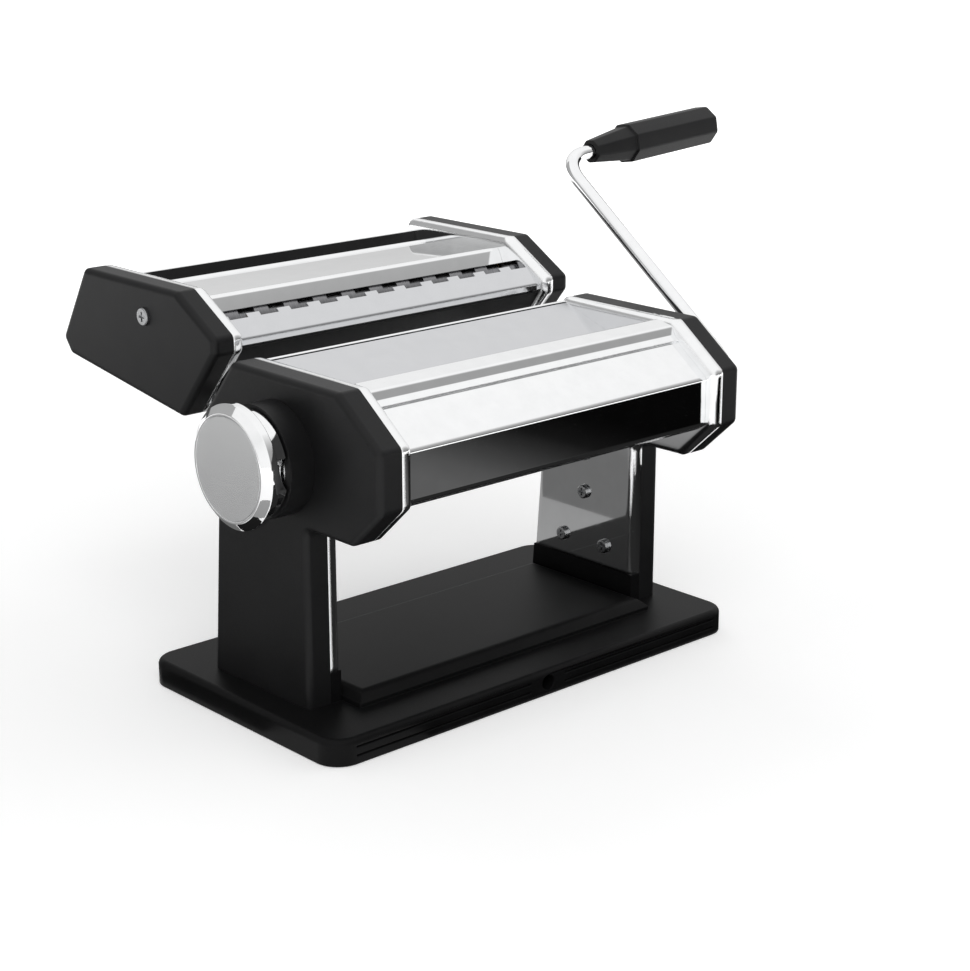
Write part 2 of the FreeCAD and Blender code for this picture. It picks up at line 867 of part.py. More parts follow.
def front_cover():
    """Ends just under the fold of the hopper guide that lies on it."""
    edge, down = brow_line()
    start = edge + down * float(size.ridge_forward + size.cover_sheet)
    points = [(start.y, start.z)] + front_cover_points()[1:]
    return bent_sheet("front_cover", points, size.sheet_bend, size.cover_sheet, inner)


def front_hopper_guide():
    """Rises from just over the front roller to a shelf, steps down from it and lies on the front cover."""
    edge, down = brow_line()
    outwards = Vector(0, down.z, -down.y)
    sheet_thickness = float(size.cover_sheet)
    crest = edge + outwards * sheet_thickness + down * float(size.ridge_forward)
    tail = crest + down * float(size.flange_width)
    ridge = crest + Vector(0, float(size.ridge_lean), float(size.ridge_height))
    lip = ridge + Vector(0, float(size.shelf_run), float(size.shelf_rise))
    mouth_radius = size.roller_radius + size.cover_sheet + 2 * size.loose_fit
    mouth = polar(drive_axis, mouth_radius, float(size.front_mouth_angle))
    points = [mouth] + [(point.y, point.z) for point in (lip, ridge, crest, tail)]
    return bent_sheet("front_hopper_guide", points, size.ridge_bend, size.cover_sheet, inner)


def rear_cover():
    inset = size.side_sheet + size.cover_sheet
    points = [
        (size.column_neck - size.cover_sheet, head_bottom + size.rear_lip),
        (size.head_rear - inset, nape_foot),
        (size.head_rear - inset, head_top - size.nape_drop - size.cover_sheet),
        (size.nape_start - size.cover_sheet, head_top - size.rear_sink),
    ]
    return bent_sheet("rear_cover", points, size.sheet_bend, size.cover_sheet, inner)


def rear_hopper_guide():
    mouth_radius = size.roller_radius + size.eccentricity + size.cover_sheet + 2 * size.loose_fit
    low = polar(knob_axis, mouth_radius, float(size.rear_mouth_angle))
    high = (size.nape_start - size.rear_guide_inset, head_top - size.rear_guide_drop)
    return bent_sheet("rear_hopper_guide", [high, low], size.sheet_bend, size.cover_sheet, inner)


def tie_rods():
    places = [(size.upper_rod_rear, upper_rod_height), (size.lower_rod_rear, lower_rod_height)]
    rods = [rod("tie_rod", at, size.tie_rod_radius, -inner, 2 * inner) for at in places]
    return group("tie_rods", rods)


def scraper(label, axis, angle):
    """A flat bar across the frames that stands just off a roller."""
    angle = float(angle)
    piece = doc.addObject("Part::Box", label)
    piece.Label = label
    bind(piece, "Length", 2 * inner)
    bind(piece, "Width", size.scraper_depth)
    bind(piece, "Height", size.scraper_thickness)
    y, z = polar(axis, size.roller_radius + size.loose_fit, angle)
    piece.Placement = FreeCAD.Placement(Vector(0, y, z), Rotation(Vector(1, 0, 0), angle))
    bind(piece, "Placement.Base.x", -inner)
    return piece


def bush(label, at, side, bore, outside):
    """A flanged bush in a frame plate, flange on the outer side."""
    start = inner - size.loose_fit * 2
    end = plate + size.bush_flange_width
    radius = bore + size.running_fit
    points = [(start, radius), (start, outside), (plate, outside), (plate, outside + size.bush_flange)]
    points += [(end, outside + size.bush_flange), (end, radius)]
    return turned(label, at, [(x * side, r) for x, r in points])


def shaft_bridge():
    """A strap over the adjustable roller's gear that carries the far end of the eccentric shaft."""
    piece = new_body("shaft_bridge")
    half = size.bridge_width / 2
    reach = gear_tip + size.eccentricity + 2 * size.loose_fit
    top = wall_inside - size.loose_fit
    face = top - size.bridge_sheet
    y, z = knob_axis
    outside = reach + size.bridge_sheet
    block = [(plate, z - outside), (top, z - outside), (top, z + outside), (plate, z + outside)]
    hollow_part = [(plate, z - reach), (face, z - reach), (face, z + reach), (plate, z + reach)]
    pad(piece, "XZ_Plane", -(y + half), size.bridge_width, [block])
    cut(piece, "XZ_Plane", -(y + half), size.bridge_width, [hollow_part])
    hole = Circle(knob_axis, size.shaft_radius + size.running_fit)
    cut(piece, "YZ_Plane", face, size.bridge_sheet, [hole])
    return piece


# Rollers, shafts and gears

def gear_shape(width, root, tip, root_width, tip_width, first_angle):
    """A coarse spur gear along +X with one tooth centred on first_angle."""
    points = []
    for tooth in range(GEAR_TEETH):
        middle = first_angle + 360.0 * tooth / GEAR_TEETH
        flanks = ((root, -root_width), (tip, -tip_width), (tip, tip_width), (root, root_width))
        for radius, breadth in flanks:
            angle = math.radians(middle) + breadth / 2 / radius
            points.append(Vector(0, radius * math.cos(angle), radius * math.sin(angle)))
    face = Part.Face(Part.makePolygon(points + points[:1]))
    return face.extrude(Vector(width, 0, 0))


def main_gear(first_angle):
    return gear_shape(float(size.gear_width), float(gear_root), float(gear_tip),
                      float(size.gear_tooth_root), float(size.gear_tooth_tip), first_angle)


def bored(shape, radius):
    """A shape with a hole right through it along the X axis."""
    box = shape.BoundBox
    bore = Part.makeCylinder(float(radius), box.XLength, Vector(box.XMin, 0, 0), Vector(1, 0, 0))
    return shape.cut(bore)


def placed(x, at):
    return FreeCAD.Placement(Vector(float(x), float(at[0]), float(at[1])), Rotation())


def socket_cuts(piece, end):
    """A round socket in a shaft's end with a slot at its bottom for the crank's tang."""
    origin = (0.0, 0.0)
    bottom = end - size.socket_depth
    cut(piece, "YZ_Plane", bottom, size.socket_depth, [Circle(origin, crank_bore)])
    half = size.tang_thickness / 2 + size.running_fit
    depth = size.tang_length + size.loose_fit
    slot = [(-half, -crank_bore), (half, -crank_bore), (half, crank_bore), (-half, crank_bore)]
    cut(piece, "YZ_Plane", bottom - depth, depth, [slot])


def drive_shaft_end():
    return gear_start + size.gear_width + size.bush_flange_width


def drive_roller():
    r = size.journal_radius
    left = -(plate + size.bush_flange_width)
    right = drive_shaft_end()
    outline = [(left, 0.0), (left, r), (-roller_end, r), (-roller_end, size.roller_radius),
               (roller_end, size.roller_radius), (roller_end, r), (right, r), (right, 0.0)]
    piece = turned("drive_roller", drive_axis, outline)
    socket_cuts(piece, right)
    piece.Placement.Rotation = crank_turn()
    return piece


def drive_gear():
    shape = bored(main_gear(0.0), size.journal_radius + size.press_fit)
    return solid("drive_gear", shape, placed(gear_start, drive_axis))


def eccentric_shaft():
    """The knob's shaft, square at the knob, with two lobes that carry the adjustable roller."""
    piece = new_body("eccentric_shaft")
    square_end = knob_back + size.knob_web + size.spring_length
    square_start = boss_face - size.plate_thickness
    end = wall_inside - size.loose_fit
    pad(piece, "YZ_Plane", -square_start, square_start + end, [Circle(knob_axis, size.shaft_radius)])
    half = size.knob_square / 2
    y, z = knob_axis
    square = [(y - half, z - half), (y + half, z - half), (y + half, z + half), (y - half, z + half)]
    pad(piece, "YZ_Plane", -square_end, square_end - square_start, [square])
    for start in (-lobe_end(), lobe_end() - size.lobe_length):
        pad(piece, "YZ_Plane", start, size.lobe_length, [Circle(roller_axis, size.lobe_radius)])
    cut(piece, "YZ_Plane", -square_end, size.retainer_shank + size.overcut, [Circle(knob_axis, screw_hole)])
    return piece


def lobe_end():
    return roller_end - size.spigot_length - size.loose_fit


def roller_bushes():
    r_in = size.lobe_radius + size.running_fit
    r_out = size.bore_radius - size.running_fit
    bushes = []
    for start in (-lobe_end(), lobe_end() - size.lobe_length):
        tube = doc.addObject("Part::Cut", "roller_bush")
        tube.Base = rod("bush_outside", roller_axis, r_out, start, size.lobe_length)
        tube.Tool = rod("bush_bore", roller_axis, r_in, start, size.lobe_length)
        bushes.append(tube)
    return group("roller_bushes", bushes)


def adjustable_roller():
    outline = [(-roller_end, size.bore_radius), (-roller_end, size.roller_radius),
               (roller_end, size.roller_radius), (roller_end, size.bore_radius)]
    return turned("adjustable_roller", roller_axis, outline)


def adjustable_gear():
    """The gear with its hub, which plugs into the end of the hollow roller."""
    half_tooth = 180.0 / GEAR_TEETH
    shape = main_gear(180.0 + half_tooth)
    neck = float(gear_start - roller_end)
    plug = float(size.spigot_length)
    axis = Vector(1, 0, 0)
    hub = Part.makeCylinder(float(size.gear_hub_radius), neck, Vector(-neck, 0, 0), axis)
    spigot_radius = float(size.bore_radius - size.press_fit)
    spigot = Part.makeCylinder(spigot_radius, plug, Vector(-neck - plug, 0, 0), axis)
    shape = shape.fuse([hub, spigot]).removeSplitter()
    shape = bored(shape, size.shaft_radius + size.eccentricity + 2 * size.loose_fit)
    return solid("adjustable_gear", shape, placed(gear_start, roller_axis))


# Thickness knob

def index_plate():
    """A disc with a groove for the index pin and a pocket at each thickness."""
    axis = Vector(1, 0, 0)
    thickness = float(size.plate_thickness)
    disc = Part.makeCylinder(float(size.plate_radius), thickness, Vector(), axis)
    disc = bored(disc, size.shaft_radius + 2 * size.loose_fit)
    pin = float(size.pin_radius + size.loose_fit)
    groove_depth = float(size.pin_depth + size.loose_fit)
    spare = math.degrees(pin / float(size.index_radius))
    ring_out = float(size.index_radius) + pin
    ring_in = float(size.index_radius) - pin
    section = Part.makePlane(groove_depth, ring_out - ring_in, Vector(0, ring_in, 0))
    groove = section.revolve(Vector(), axis, INDEX_TURN + 2 * spare)
    groove.rotate(Vector(), axis, PIN_START - spare)
    disc = disc.cut(groove)
    for step in range(INDEX_STEPS):
        y, z = polar((0, 0), size.index_radius, PIN_START + INDEX_TURN * step / (INDEX_STEPS - 1))
        disc = disc.cut(Part.makeCylinder(float(size.pin_radius), thickness, Vector(0, y, z), axis))
    return solid("index_plate", disc, placed(-boss_face, knob_axis))


def index_pin():
    at = polar(knob_axis, size.index_radius, PIN_START)
    start = -(knob_back + 2 * size.knob_web)
    piece = rod("index_pin", at, size.pin_radius, start, 2 * size.knob_web + size.knob_gap + size.pin_depth)
    piece.Label = "index_pin"
    return piece


def knob_body():
    barrel_end = knob_back + size.knob_barrel_length
    edge_end = barrel_end + size.knob_edge
    face = edge_end + size.knob_bevel
    floor = face - size.cap_thickness
    web = knob_back + size.knob_web
    chamber = size.retainer_radius + size.loose_fit
    flat = size.knob_face + size.knob_lip
    outline = [(-knob_back, 0.0), (-knob_back, size.knob_barrel), (-barrel_end, size.knob_barrel),
               (-barrel_end, size.knob_radius), (-edge_end, size.knob_radius), (-face, flat),
               (-face, size.knob_face), (-floor, size.knob_face), (-floor, 0.0)]
    piece = turned("knob_body", knob_axis, outline)
    origin = (0.0, 0.0)
    cut(piece, "YZ_Plane", -floor, floor - web, [Circle(origin, chamber)])
    half = size.knob_square / 2 + size.running_fit
    square = [(-half, -half), (half, -half), (half, half), (-half, half)]
    cut(piece, "YZ_Plane", -web, size.knob_web, [square])
    y, z = polar(origin, size.index_radius, PIN_START)
    cut(piece, "YZ_Plane", -(knob_back + 2 * size.knob_web), 2 * size.knob_web,
        [Circle((y, z), size.pin_radius + size.press_fit)])
    notches = []
    for lobe in range(KNOB_LOBES):
        at = polar(origin, size.knob_barrel + size.notch_offset, 360.0 * (lobe + 0.5) / KNOB_LOBES)
        notches.append(Circle(at, size.notch_radius))
    cut(piece, "YZ_Plane", -barrel_end, size.knob_barrel_length, notches)
    return piece


def knob_cap():
    face = knob_back + size.knob_barrel_length + size.knob_edge + size.knob_bevel
    piece = rod("knob_cap", knob_axis, size.knob_face - size.running_fit, -face, size.cap_thickness)
    piece.Label = "knob_cap"
    return piece


def knob_retainer():
    """The screw in the shaft's end that the knob's spring pushes against."""
    seat = knob_back + size.knob_web + size.spring_length
    top = seat + size.retainer_thickness
    tip = seat - size.retainer_shank
    r, shank = size.retainer_radius, size.screw_radius
    outline = [(-top, 0.0), (-top, r), (-seat, r), (-seat, shank), (-tip, shank), (-tip, 0.0)]
    return turned("knob_retainer", knob_axis, outline)


def knob_spring():
    """Hidden in the knob: the space that the spring takes round the shaft."""
    start = -(knob_back + size.knob_web + size.spring_length)
    tube = doc.addObject("Part::Cut", "knob_spring")
    tube.Label = "knob_spring"
    outside = size.retainer_radius - size.loose_fit
    inside = size.shaft_radius + 2 * size.loose_fit
    tube.Base = rod("spring_outside", knob_axis, outside, start, size.spring_length)
    tube.Tool = rod("spring_inside", knob_axis, inside, start, size.spring_length)
    return tube


# Crank

def crank_turn():
    return Rotation(Vector(1, 0, 0), -float(size.arm_lean_angle))


def crank_rod():
    """One bent rod: into the roller's socket, round to the arm, and out through the grip."""
    plane, bend, arm = float(size.arm_plane), float(size.arm_bend), float(size.arm_length)
    tilt = math.radians(float(size.grip_tilt_angle))
    radius = float(size.rod_radius)
    bottom = float(drive_shaft_end() - size.socket_depth)
    top_turn = math.pi / 2 - tilt
    reach = bend * math.tan(top_turn / 2)
    out = Vector(math.cos(tilt), 0, math.sin(tilt))
    corner = Vector(plane, 0, arm)
    sag = bend * (1 - math.sqrt(0.5))
    low_bend = [Vector(plane - bend, 0, 0), Vector(plane - sag, 0, sag), Vector(plane, 0, bend)]
    centre = Vector(plane + bend, 0, arm - reach)
    half = math.pi - top_turn / 2
    high_middle = centre + Vector(math.cos(half), 0, math.sin(half)) * bend
    high_bend = [Vector(plane, 0, arm - reach), high_middle, corner + out * reach]
    end = corner + out * float(size.grip_start + size.grip_bore_depth - 2 * size.overcut)
    path = Part.Wire([
        Part.makeLine(Vector(bottom, 0, 0), low_bend[0]),
        Part.Arc(*low_bend).toShape(),
        Part.makeLine(low_bend[2], high_bend[0]),
        Part.Arc(*high_bend).toShape(),
        Part.makeLine(high_bend[2], end),
    ])
    ring = Part.Wire(Part.makeCircle(radius, Vector(bottom, 0, 0), Vector(1, 0, 0)))
    shape = path.makePipeShell([ring], True, False)
    expected = math.pi * radius ** 2 * path.Length
    if abs(shape.Volume / expected - 1) > 0.01:
        raise RuntimeError("the crank rod's volume doesn't match its length")
    thick, long = float(size.tang_thickness), float(size.tang_length)
    tang = Part.makeCylinder(radius, long, Vector(bottom - long, 0, 0), Vector(1, 0, 0))
    blade = Part.makeBox(long, thick, 2 * radius, Vector(bottom - long, -thick / 2, -radius))
    shape = shape.fuse(tang.common(blade)).removeSplitter()
    placement = placed(0, drive_axis)
    placement.Rotation = crank_turn()
    return solid("crank_rod", shape, placement)


def octagon(radius):
    points = []
    for corner in range(8):
        turn = math.radians(22.5 + 45 * corner)
        points.append((radius * math.cos(turn), radius * math.sin(turn)))
    return points


def crank_grip():
    """An eight-sided grip with a tapered neck, free to spin on the rod."""
    piece = new_body("crank_grip")
    shoulder = size.grip_start + size.neck_length
    body_length = size.grip_length - size.neck_length
    pad(piece, "YZ_Plane", shoulder, body_length, [octagon(size.grip_radius)])
    end = shoulder + body_length
    dress(piece, "Chamfer", "Size", size.grip_chamfer, flat_at("x", end))
    doc.recompute()
    narrow = profile(piece, "YZ_Plane", size.grip_start, [octagon(size.neck_radius)])
    wide = profile(piece, "YZ_Plane", shoulder, [octagon(size.shoulder_radius)])
    neck = piece.newObject("PartDesign::AdditiveLoft", "crank_grip_neck")
    neck.Profile = narrow
    neck.Sections = [wide]
    neck.Ruled = True
    piece.Tip = neck
    doc.recompute()
    cut(piece, "YZ_Plane", size.grip_start, size.grip_bore_depth, [Circle((0.0, 0.0), crank_bore)])
    lean = math.radians(float(size.arm_lean_angle))
    arm = float(size.arm_length)
    y = float(drive_axis[0]) + arm * math.sin(lean)
    z = float(drive_axis[1]) + arm * math.cos(lean)
    tilt = Rotation(Vector(0, 1, 0), -float(size.grip_tilt_angle))
    piece.Placement = FreeCAD.Placement(Vector(float(size.arm_plane), y, z), crank_turn().multiply(tilt))
    return piece


# Cutter attachment

def pair_axes(nip, tilt):
    """Front and rear axes of a pair of cutting rollers whose rings just clear the other's core."""
    half = float(size.ring_radius + size.core_radius + size.ring_gap) / 2
    y, z = half * math.cos(math.radians(tilt)), half * math.sin(math.radians(tilt))
    front = (float(nip[0]) - y, float(nip[1]) - z)
    rear = (float(nip[0]) + y, float(nip[1]) + z)
    return front, rear


wide_front, wide_rear = pair_axes((size.wide_nip_rear, wide_nip_height), float(size.wide_tilt_angle))
fine_front, fine_rear = pair_axes((size.fine_nip_rear, fine_nip_height), 0.0)
cutter_axes = [wide_front, wide_rear, fine_front, fine_rear]
cutter_bush_outside = size.cutter_journal + size.running_fit + size.boss_wall / 2
cutter_rod_points = [
    (size.cutter_rod_upper, cutter_top - size.cutter_rod_drop),
    (size.cutter_rod_lower, cutter_tail_low + size.cutter_rod_rise),
]


def cutter_frame(side, name):
    piece = new_body(f"cutter_{name}_frame")
    depth = size.side_sheet + size.rim_depth
    pad(piece, "YZ_Plane", outward(side, inner, depth), depth, [cutter_outline()])
    round_edges(piece, size.corner_round, along("x"))
    hollow(piece, size.side_sheet, flat_at("x", rim * side))
    round_edges(piece, size.rim_round, flat_at("x", inner * side))
    holes = [Circle(at, cutter_bush_outside) for at in cutter_axes]
    holes.append(Circle(cutter_rod_points[0], screw_hole))
    cut(piece, "YZ_Plane", outward(side, inner - size.overcut, size.side_sheet + 2 * size.overcut),
        size.side_sheet + 2 * size.overcut, holes)
    return piece


def cutter_cover(side, name):
    piece = new_body(f"cutter_{name}_cover")
    pad(piece, "YZ_Plane", outward(side, rim, size.cutter_depth), size.cutter_depth, [cutter_outline()])
    round_edges(piece, size.corner_round, along("x"))
    hollow(piece, size.cutter_wall, flat_at("x", rim * side))
    round_edges(piece, size.cover_round, flat_at("x", cutter_outer * side))
    inside = cutter_outer - size.cutter_wall
    pad(piece, "YZ_Plane", outward(side, plate, inside - plate), inside - plate,
        [Circle(cutter_rod_points[0], screw_hole + size.boss_wall)])
    through = cutter_outer - plate
    holes = [Circle(cutter_rod_points[0], screw_hole)]
    cut(piece, "YZ_Plane", outward(side, plate, through), through, holes)
    if side > 0:
        openings = [Circle(at, size.rod_radius + size.crank_play) for at in (wide_rear, fine_front)]
        cut(piece, "YZ_Plane", inside, size.cutter_wall, openings)
    return piece


def cutter_tie_rods():
    shapes = []
    axis = Vector(1, 0, 0)
    half = float(inner)
    radius = float(size.cutter_rod_radius)
    for y, z in cutter_rod_points:
        shapes.append(Part.makeCylinder(radius, 2 * half, Vector(-half, float(y), float(z)), axis))
    depth = float(size.thread_depth)
    y, z = cutter_rod_points[0]
    for start in (-half, half - depth):
        hole = Part.makeCylinder(float(screw_hole), depth, Vector(start, float(y), float(z)), axis)
        shapes[0] = shapes[0].cut(hole)
    return solid("cutter_tie_rods", Part.makeCompound(shapes))


def cutter_cover_screws():
    y, z = cutter_rod_points[0]
    seats = [(cutter_outer * side, y, z, -side) for side, _ in SIDES]
    length = cutter_outer - inner + size.thread_depth - size.overcut
    return screws("cutter_cover_screws", seats, size.cap_screw_head, size.cap_screw_height, length)


def cutter_bridge():
    """The plate between the two cutters, with a raised crest over the wide one."""
    top = cutter_top
    crest = top - size.bridge_crest
    rear = top - size.bridge_drop - size.bridge_slack
    bend = size.bridge_rear - size.bridge_bend
    face = size.bridge_ridge - size.crest_width
    face_top = crest - size.crest_slope
    points = [
        (size.bridge_rear, top - size.bridge_lip),
        (bend + size.bridge_rise_run, rear + size.bridge_rise),
        (bend, rear),
        (size.bridge_front, top - size.bridge_drop),
        (size.bridge_ridge, crest),
        (face, face_top),
        (face - size.crest_run, face_top - size.crest_fall),
    ]
    return bent_sheet("cutter_bridge", points, size.ridge_bend, size.cutter_sheet, inner)


def guide_lip_bottom():
    return cutter_nose_top - size.guide_sink - size.guide_lip


def cutter_front_guide():
    """Leads the sheet to the wide cutter; its edge is notched over each ring of the front roller."""
    nose = size.cutter_nose + size.guide_nose
    lip = cutter_nose_top - size.guide_sink
    edge = nose + size.guide_run
    points = [(edge, lip + size.guide_fall), (nose, lip), (nose, guide_lip_bottom())]
    shape = sheet_shape(points, size.ridge_bend, size.cutter_sheet, inner)
    width, depth = float(size.guide_notch), float(size.guide_notch_depth)
    back = float(edge + size.cutter_sheet)
    height = float(cutter_top - lip)
    notches = []
    for i in range(WIDE_RINGS):
        middle = float(size.wide_pitch) * (i - (WIDE_RINGS - 1) / 2)
        corner = Vector(middle - width / 2, float(edge) - depth, float(lip))
        notches.append(Part.makeBox(width, back - float(edge) + depth, height, corner))
    return solid("cutter_front_guide", shape.cut(notches))


def cutter_apron():
    """The black sheet under the guide that closes the cutter's front."""
    nose = size.cutter_nose + size.guide_nose
    points = [
        (nose, guide_lip_bottom() - size.cutter_sheet),
        (size.cutter_heel - size.guide_heel, cutter_heel_low + size.guide_heel_rise),
    ]
    return bent_sheet("cutter_apron", points, size.ridge_bend, size.cutter_sheet, inner)


def cutter_rear_guide():
    rear = size.cutter_crown_rear - size.band_inset
    top = cutter_top - size.band_drop
    points = [(rear, top), (rear - size.band_slope, top - size.band_height)]
    return bent_sheet("cutter_rear_guide", points, size.ridge_bend, size.cutter_sheet, inner)


def cutter_rear_cover():
    tail = size.cutter_tail - size.tail_inset
    points = [
        (tail - size.tail_lip, cutter_tail_low + size.tail_rise),
        (tail, cutter_tail_top - size.tail_sink),
        (size.cutter_crown_rear - size.crown_inset, cutter_top - size.band_drop),
    ]
    return bent_sheet("cutter_rear_cover", points, size.sheet_bend, size.cutter_sheet, inner)


def ring_roller(label, at, first, pitch, count, width, gear_end, socket):
    """A cutting roller: rings on a core, journals at both ends."""
    journal, core, ring = float(size.cutter_journal), float(size.core_radius), float(size.ring_radius)
    end = float(roller_end)
    left = -float(plate + size.bush_flange_width)
    points = [(left, 0.0), (left, journal), (-end, journal), (-end, core)]
    for i in range(count):
        middle = first + pitch * i
        points += [(middle - width / 2, core), (middle - width / 2, ring)]
        points += [(middle + width / 2, ring), (middle + width / 2, core)]
    points += [(end, core), (end, journal), (gear_end, journal), (gear_end, 0.0)]
    corners = [Vector(x, 0, r) for x, r in points]
    face = Part.Face(Part.makePolygon(corners + corners[:1]))
    shape = face.revolve(Vector(), Vector(1, 0, 0), 360)
    if socket:
        depth, slot = float(size.socket_depth), float(size.tang_length + size.loose_fit)
        bore, half = float(crank_bore), float(size.tang_thickness / 2 + size.running_fit)
        bottom = gear_end - depth
        shape = shape.cut(Part.makeCylinder(bore, depth, Vector(bottom, 0, 0), Vector(1, 0, 0)))
        shape = shape.cut(Part.makeBox(slot, 2 * half, 2 * bore, Vector(bottom - slot, -half, -bore)))
    return solid(label, shape, placed(0, at))


def comb(label, at, angle, first, pitch, count, width):
    """A bar across the end frames with a tooth in each groove of one roller."""
    low = float(size.core_radius + size.loose_fit)
    high = float(size.ring_radius + size.loose_fit)
    depth, half = float(size.comb_depth), float(size.comb_thickness) / 2
    shape = Part.makeBox(2 * float(inner), depth, 2 * half, Vector(-float(inner), high, -half))
    teeth = []
    reach = high - low + depth / 2
    for i in range(count):
        edge = first + pitch * i - width / 2
        teeth.append(Part.makeBox(width, reach, 2 * half, Vector(edge, low, -half)))
    shape = shape.multiFuse(teeth).removeSplitter()
    placement = FreeCAD.Placement(Vector(0, float(at[0]), float(at[1])), Rotation(Vector(1, 0, 0), angle))
    return solid(label, shape, placement)


def cutter_gear(label, at, partner, first_tooth):
    """One of a pair of equal gears, with a tooth or a gap towards its partner."""
    direction = math.degrees(math.atan2(partner[1] - at[1], partner[0] - at[0]))
    start = direction + (0.0 if first_tooth else 180.0 / GEAR_TEETH)
    distance = math.hypot(partner[0] - at[0], partner[1] - at[1])
    tip = distance / 2 + float(size.cutter_gear_addendum)
    root = distance - tip - float(size.loose_fit)
    shape = gear_shape(float(size.cutter_gear_width), root, tip,
                       float(size.cutter_tooth_root), float(size.cutter_tooth_tip), start)
    shape = bored(shape, size.cutter_journal + size.press_fit)
    return solid(label, shape, placed(gear_start, at))


def cutter_bushes():
    shapes = []
    axis = Vector(1, 0, 0)
    outside = float(cutter_bush_outside)
    bore = float(size.cutter_journal + size.running_fit)
    flange = float(size.bush_flange_width)
    start = float(inner - 2 * size.loose_fit)
    depth = float(plate) - start
    for side, _ in SIDES:
        for y, z in cutter_axes:
            shape = Part.makeCylinder(outside, depth, Vector(start, 0, 0), axis)
            collar_radius = outside + float(size.collar_width)
            collar = Part.makeCylinder(collar_radius, flange, Vector(float(plate), 0, 0), axis)
            shape = shape.fuse(collar).removeSplitter()
            shape = bored(shape, bore)
            turn = Rotation(Vector(0, 0, 1), 0 if side > 0 else 180)
            shape.Placement = FreeCAD.Placement(Vector(0, y, z), turn)
            shapes.append(shape)
    return solid("cutter_bushes", Part.makeCompound(shapes))


def tongue_front():
    return size.head_rear + size.rail_wall + size.loose_fit


def hanger_brackets():
    """A plate inside each end frame whose tongue drops into a rail of the main frame."""
    plates = []
    for side, _ in SIDES:
        piece = new_body("hanger_bracket")
        front = tongue_front()
        rear = front + size.hanger_width
        low = nape_foot - size.loose_fit
        clear = nape_foot + size.rail_height + size.loose_fit
        heel_y, heel_z = size.cutter_heel, cutter_heel_low
        slope = size.hanger_slope
        outline = [
            (front, low),
            (rear, low),
            (rear, clear),
            (heel_y + 2 * slope, heel_z + slope),
            (heel_y + size.hanger_arm, heel_z + 2 * slope),
            (heel_y + size.hanger_arm, heel_z + size.hanger_height),
            (heel_y + slope, heel_z + size.hanger_height),
            (heel_y, heel_z + 2 * slope),
            (front, clear + 2 * slope),
        ]
        width = size.hanger_sheet
        pad(piece, "YZ_Plane", outward(side, inner - width, width), width, [outline])
        plates.append(piece)
    return group("hanger_brackets", plates)


def cutter_rails():
    """Upright sleeves on the rear flanges of the side frames."""
    rails = []
    for side, _ in SIDES:
        piece = new_body("cutter_rail")
        front = size.head_rear
        rear = tongue_front() + size.hanger_width + size.loose_fit + size.rail_wall
        low = inner - size.hanger_sheet - size.loose_fit - size.rail_wall
        high = plate + size.rail_wall
        box = [(low * side, front), (high * side, front), (high * side, rear), (low * side, rear)]
        pad(piece, "XY_Plane", nape_foot, size.rail_height, [box])
        low, high = low + size.rail_wall, inner + size.loose_fit
        front, rear = front + size.rail_wall, rear - size.rail_wall
        slot = [(low * side, front), (high * side, front), (high * side, rear), (low * side, rear)]
        cut(piece, "XY_Plane", nape_foot, size.rail_height, [slot])
        rails.append(piece)
    return group("cutter_rails", rails)


def cutter_rollers():
    """Two pairs of ringed rollers with their gears and combs."""
    made = []
    gear_end = float(gear_start + size.cutter_gear_width + size.collar_width)
    wide = (float(size.wide_pitch), float(size.wide_ring), WIDE_RINGS)
    fine = (float(size.fine_pitch), float(size.fine_ring), FINE_RINGS)
    rows = (
        ("fettuccine_front", wide_front, wide_rear, wide, False, True, size.wide_front_comb_angle),
        ("fettuccine_rear", wide_rear, wide_front, wide, True, False, size.wide_rear_comb_angle),
        ("tagliolini_front", fine_front, fine_rear, fine, True, True, size.fine_front_comb_angle),
        ("tagliolini_rear", fine_rear, fine_front, fine, False, False, size.fine_rear_comb_angle),
    )
    for label, at, partner, (pitch, ring, count), driven, is_front, angle in rows:
        count = count if is_front else count - 1
        first = -pitch * (count - 1) / 2
        tooth = pitch - ring - 2 * float(size.loose_fit)
        made.append(ring_roller(f"{label}_roller", at, first, pitch, count, ring, gear_end, driven))
        made.append(cutter_gear(f"{label}_gear", at, partner, driven))
        made.append(comb(f"{label}_comb", at, float(angle), first + pitch / 2, pitch, count - 1, tooth))
    return made


def all_pieces():
    made = [base_moulding(), rubber_feet(), frame_screws(), cover_screws()]
    for side, name in SIDES:
        made += [side_frame(side, name), side_cover(side, name)]
        made.append(bush(f"{name}_drive_bush", drive_axis, side, size.journal_radius, bush_outside))
    made += [front_cover(), front_hopper_guide(), rear_cover(), rear_hopper_guide(), tie_rods()]
    made.append(scraper("front_scraper", drive_axis, size.front_scraper_angle))
    made.append(scraper("rear_scraper", roller_axis, size.rear_scraper_angle))
    made.append(bush("shaft_bush", knob_axis, -1, size.shaft_radius, shaft_bush_outside))
    made += [shaft_bridge(), cutter_rails()]
    made += [drive_roller(), drive_gear()]
    made += [eccentric_shaft(), roller_bushes(), adjustable_roller(), adjustable_gear()]
    made += [index_plate(), index_pin(), knob_body(), knob_cap(), knob_retainer(), knob_spring()]
    made += [crank_rod(), crank_grip()]
    for side, name in SIDES:
        made += [cutter_frame(side, name), cutter_cover(side, name)]
    made += [cutter_tie_rods(), cutter_cover_screws(), cutter_bridge(), cutter_front_guide(), cutter_apron()]
    made += [cutter_rear_guide(), cutter_rear_cover(), cutter_bushes(), hanger_brackets()]
    return made + cutter_rollers()


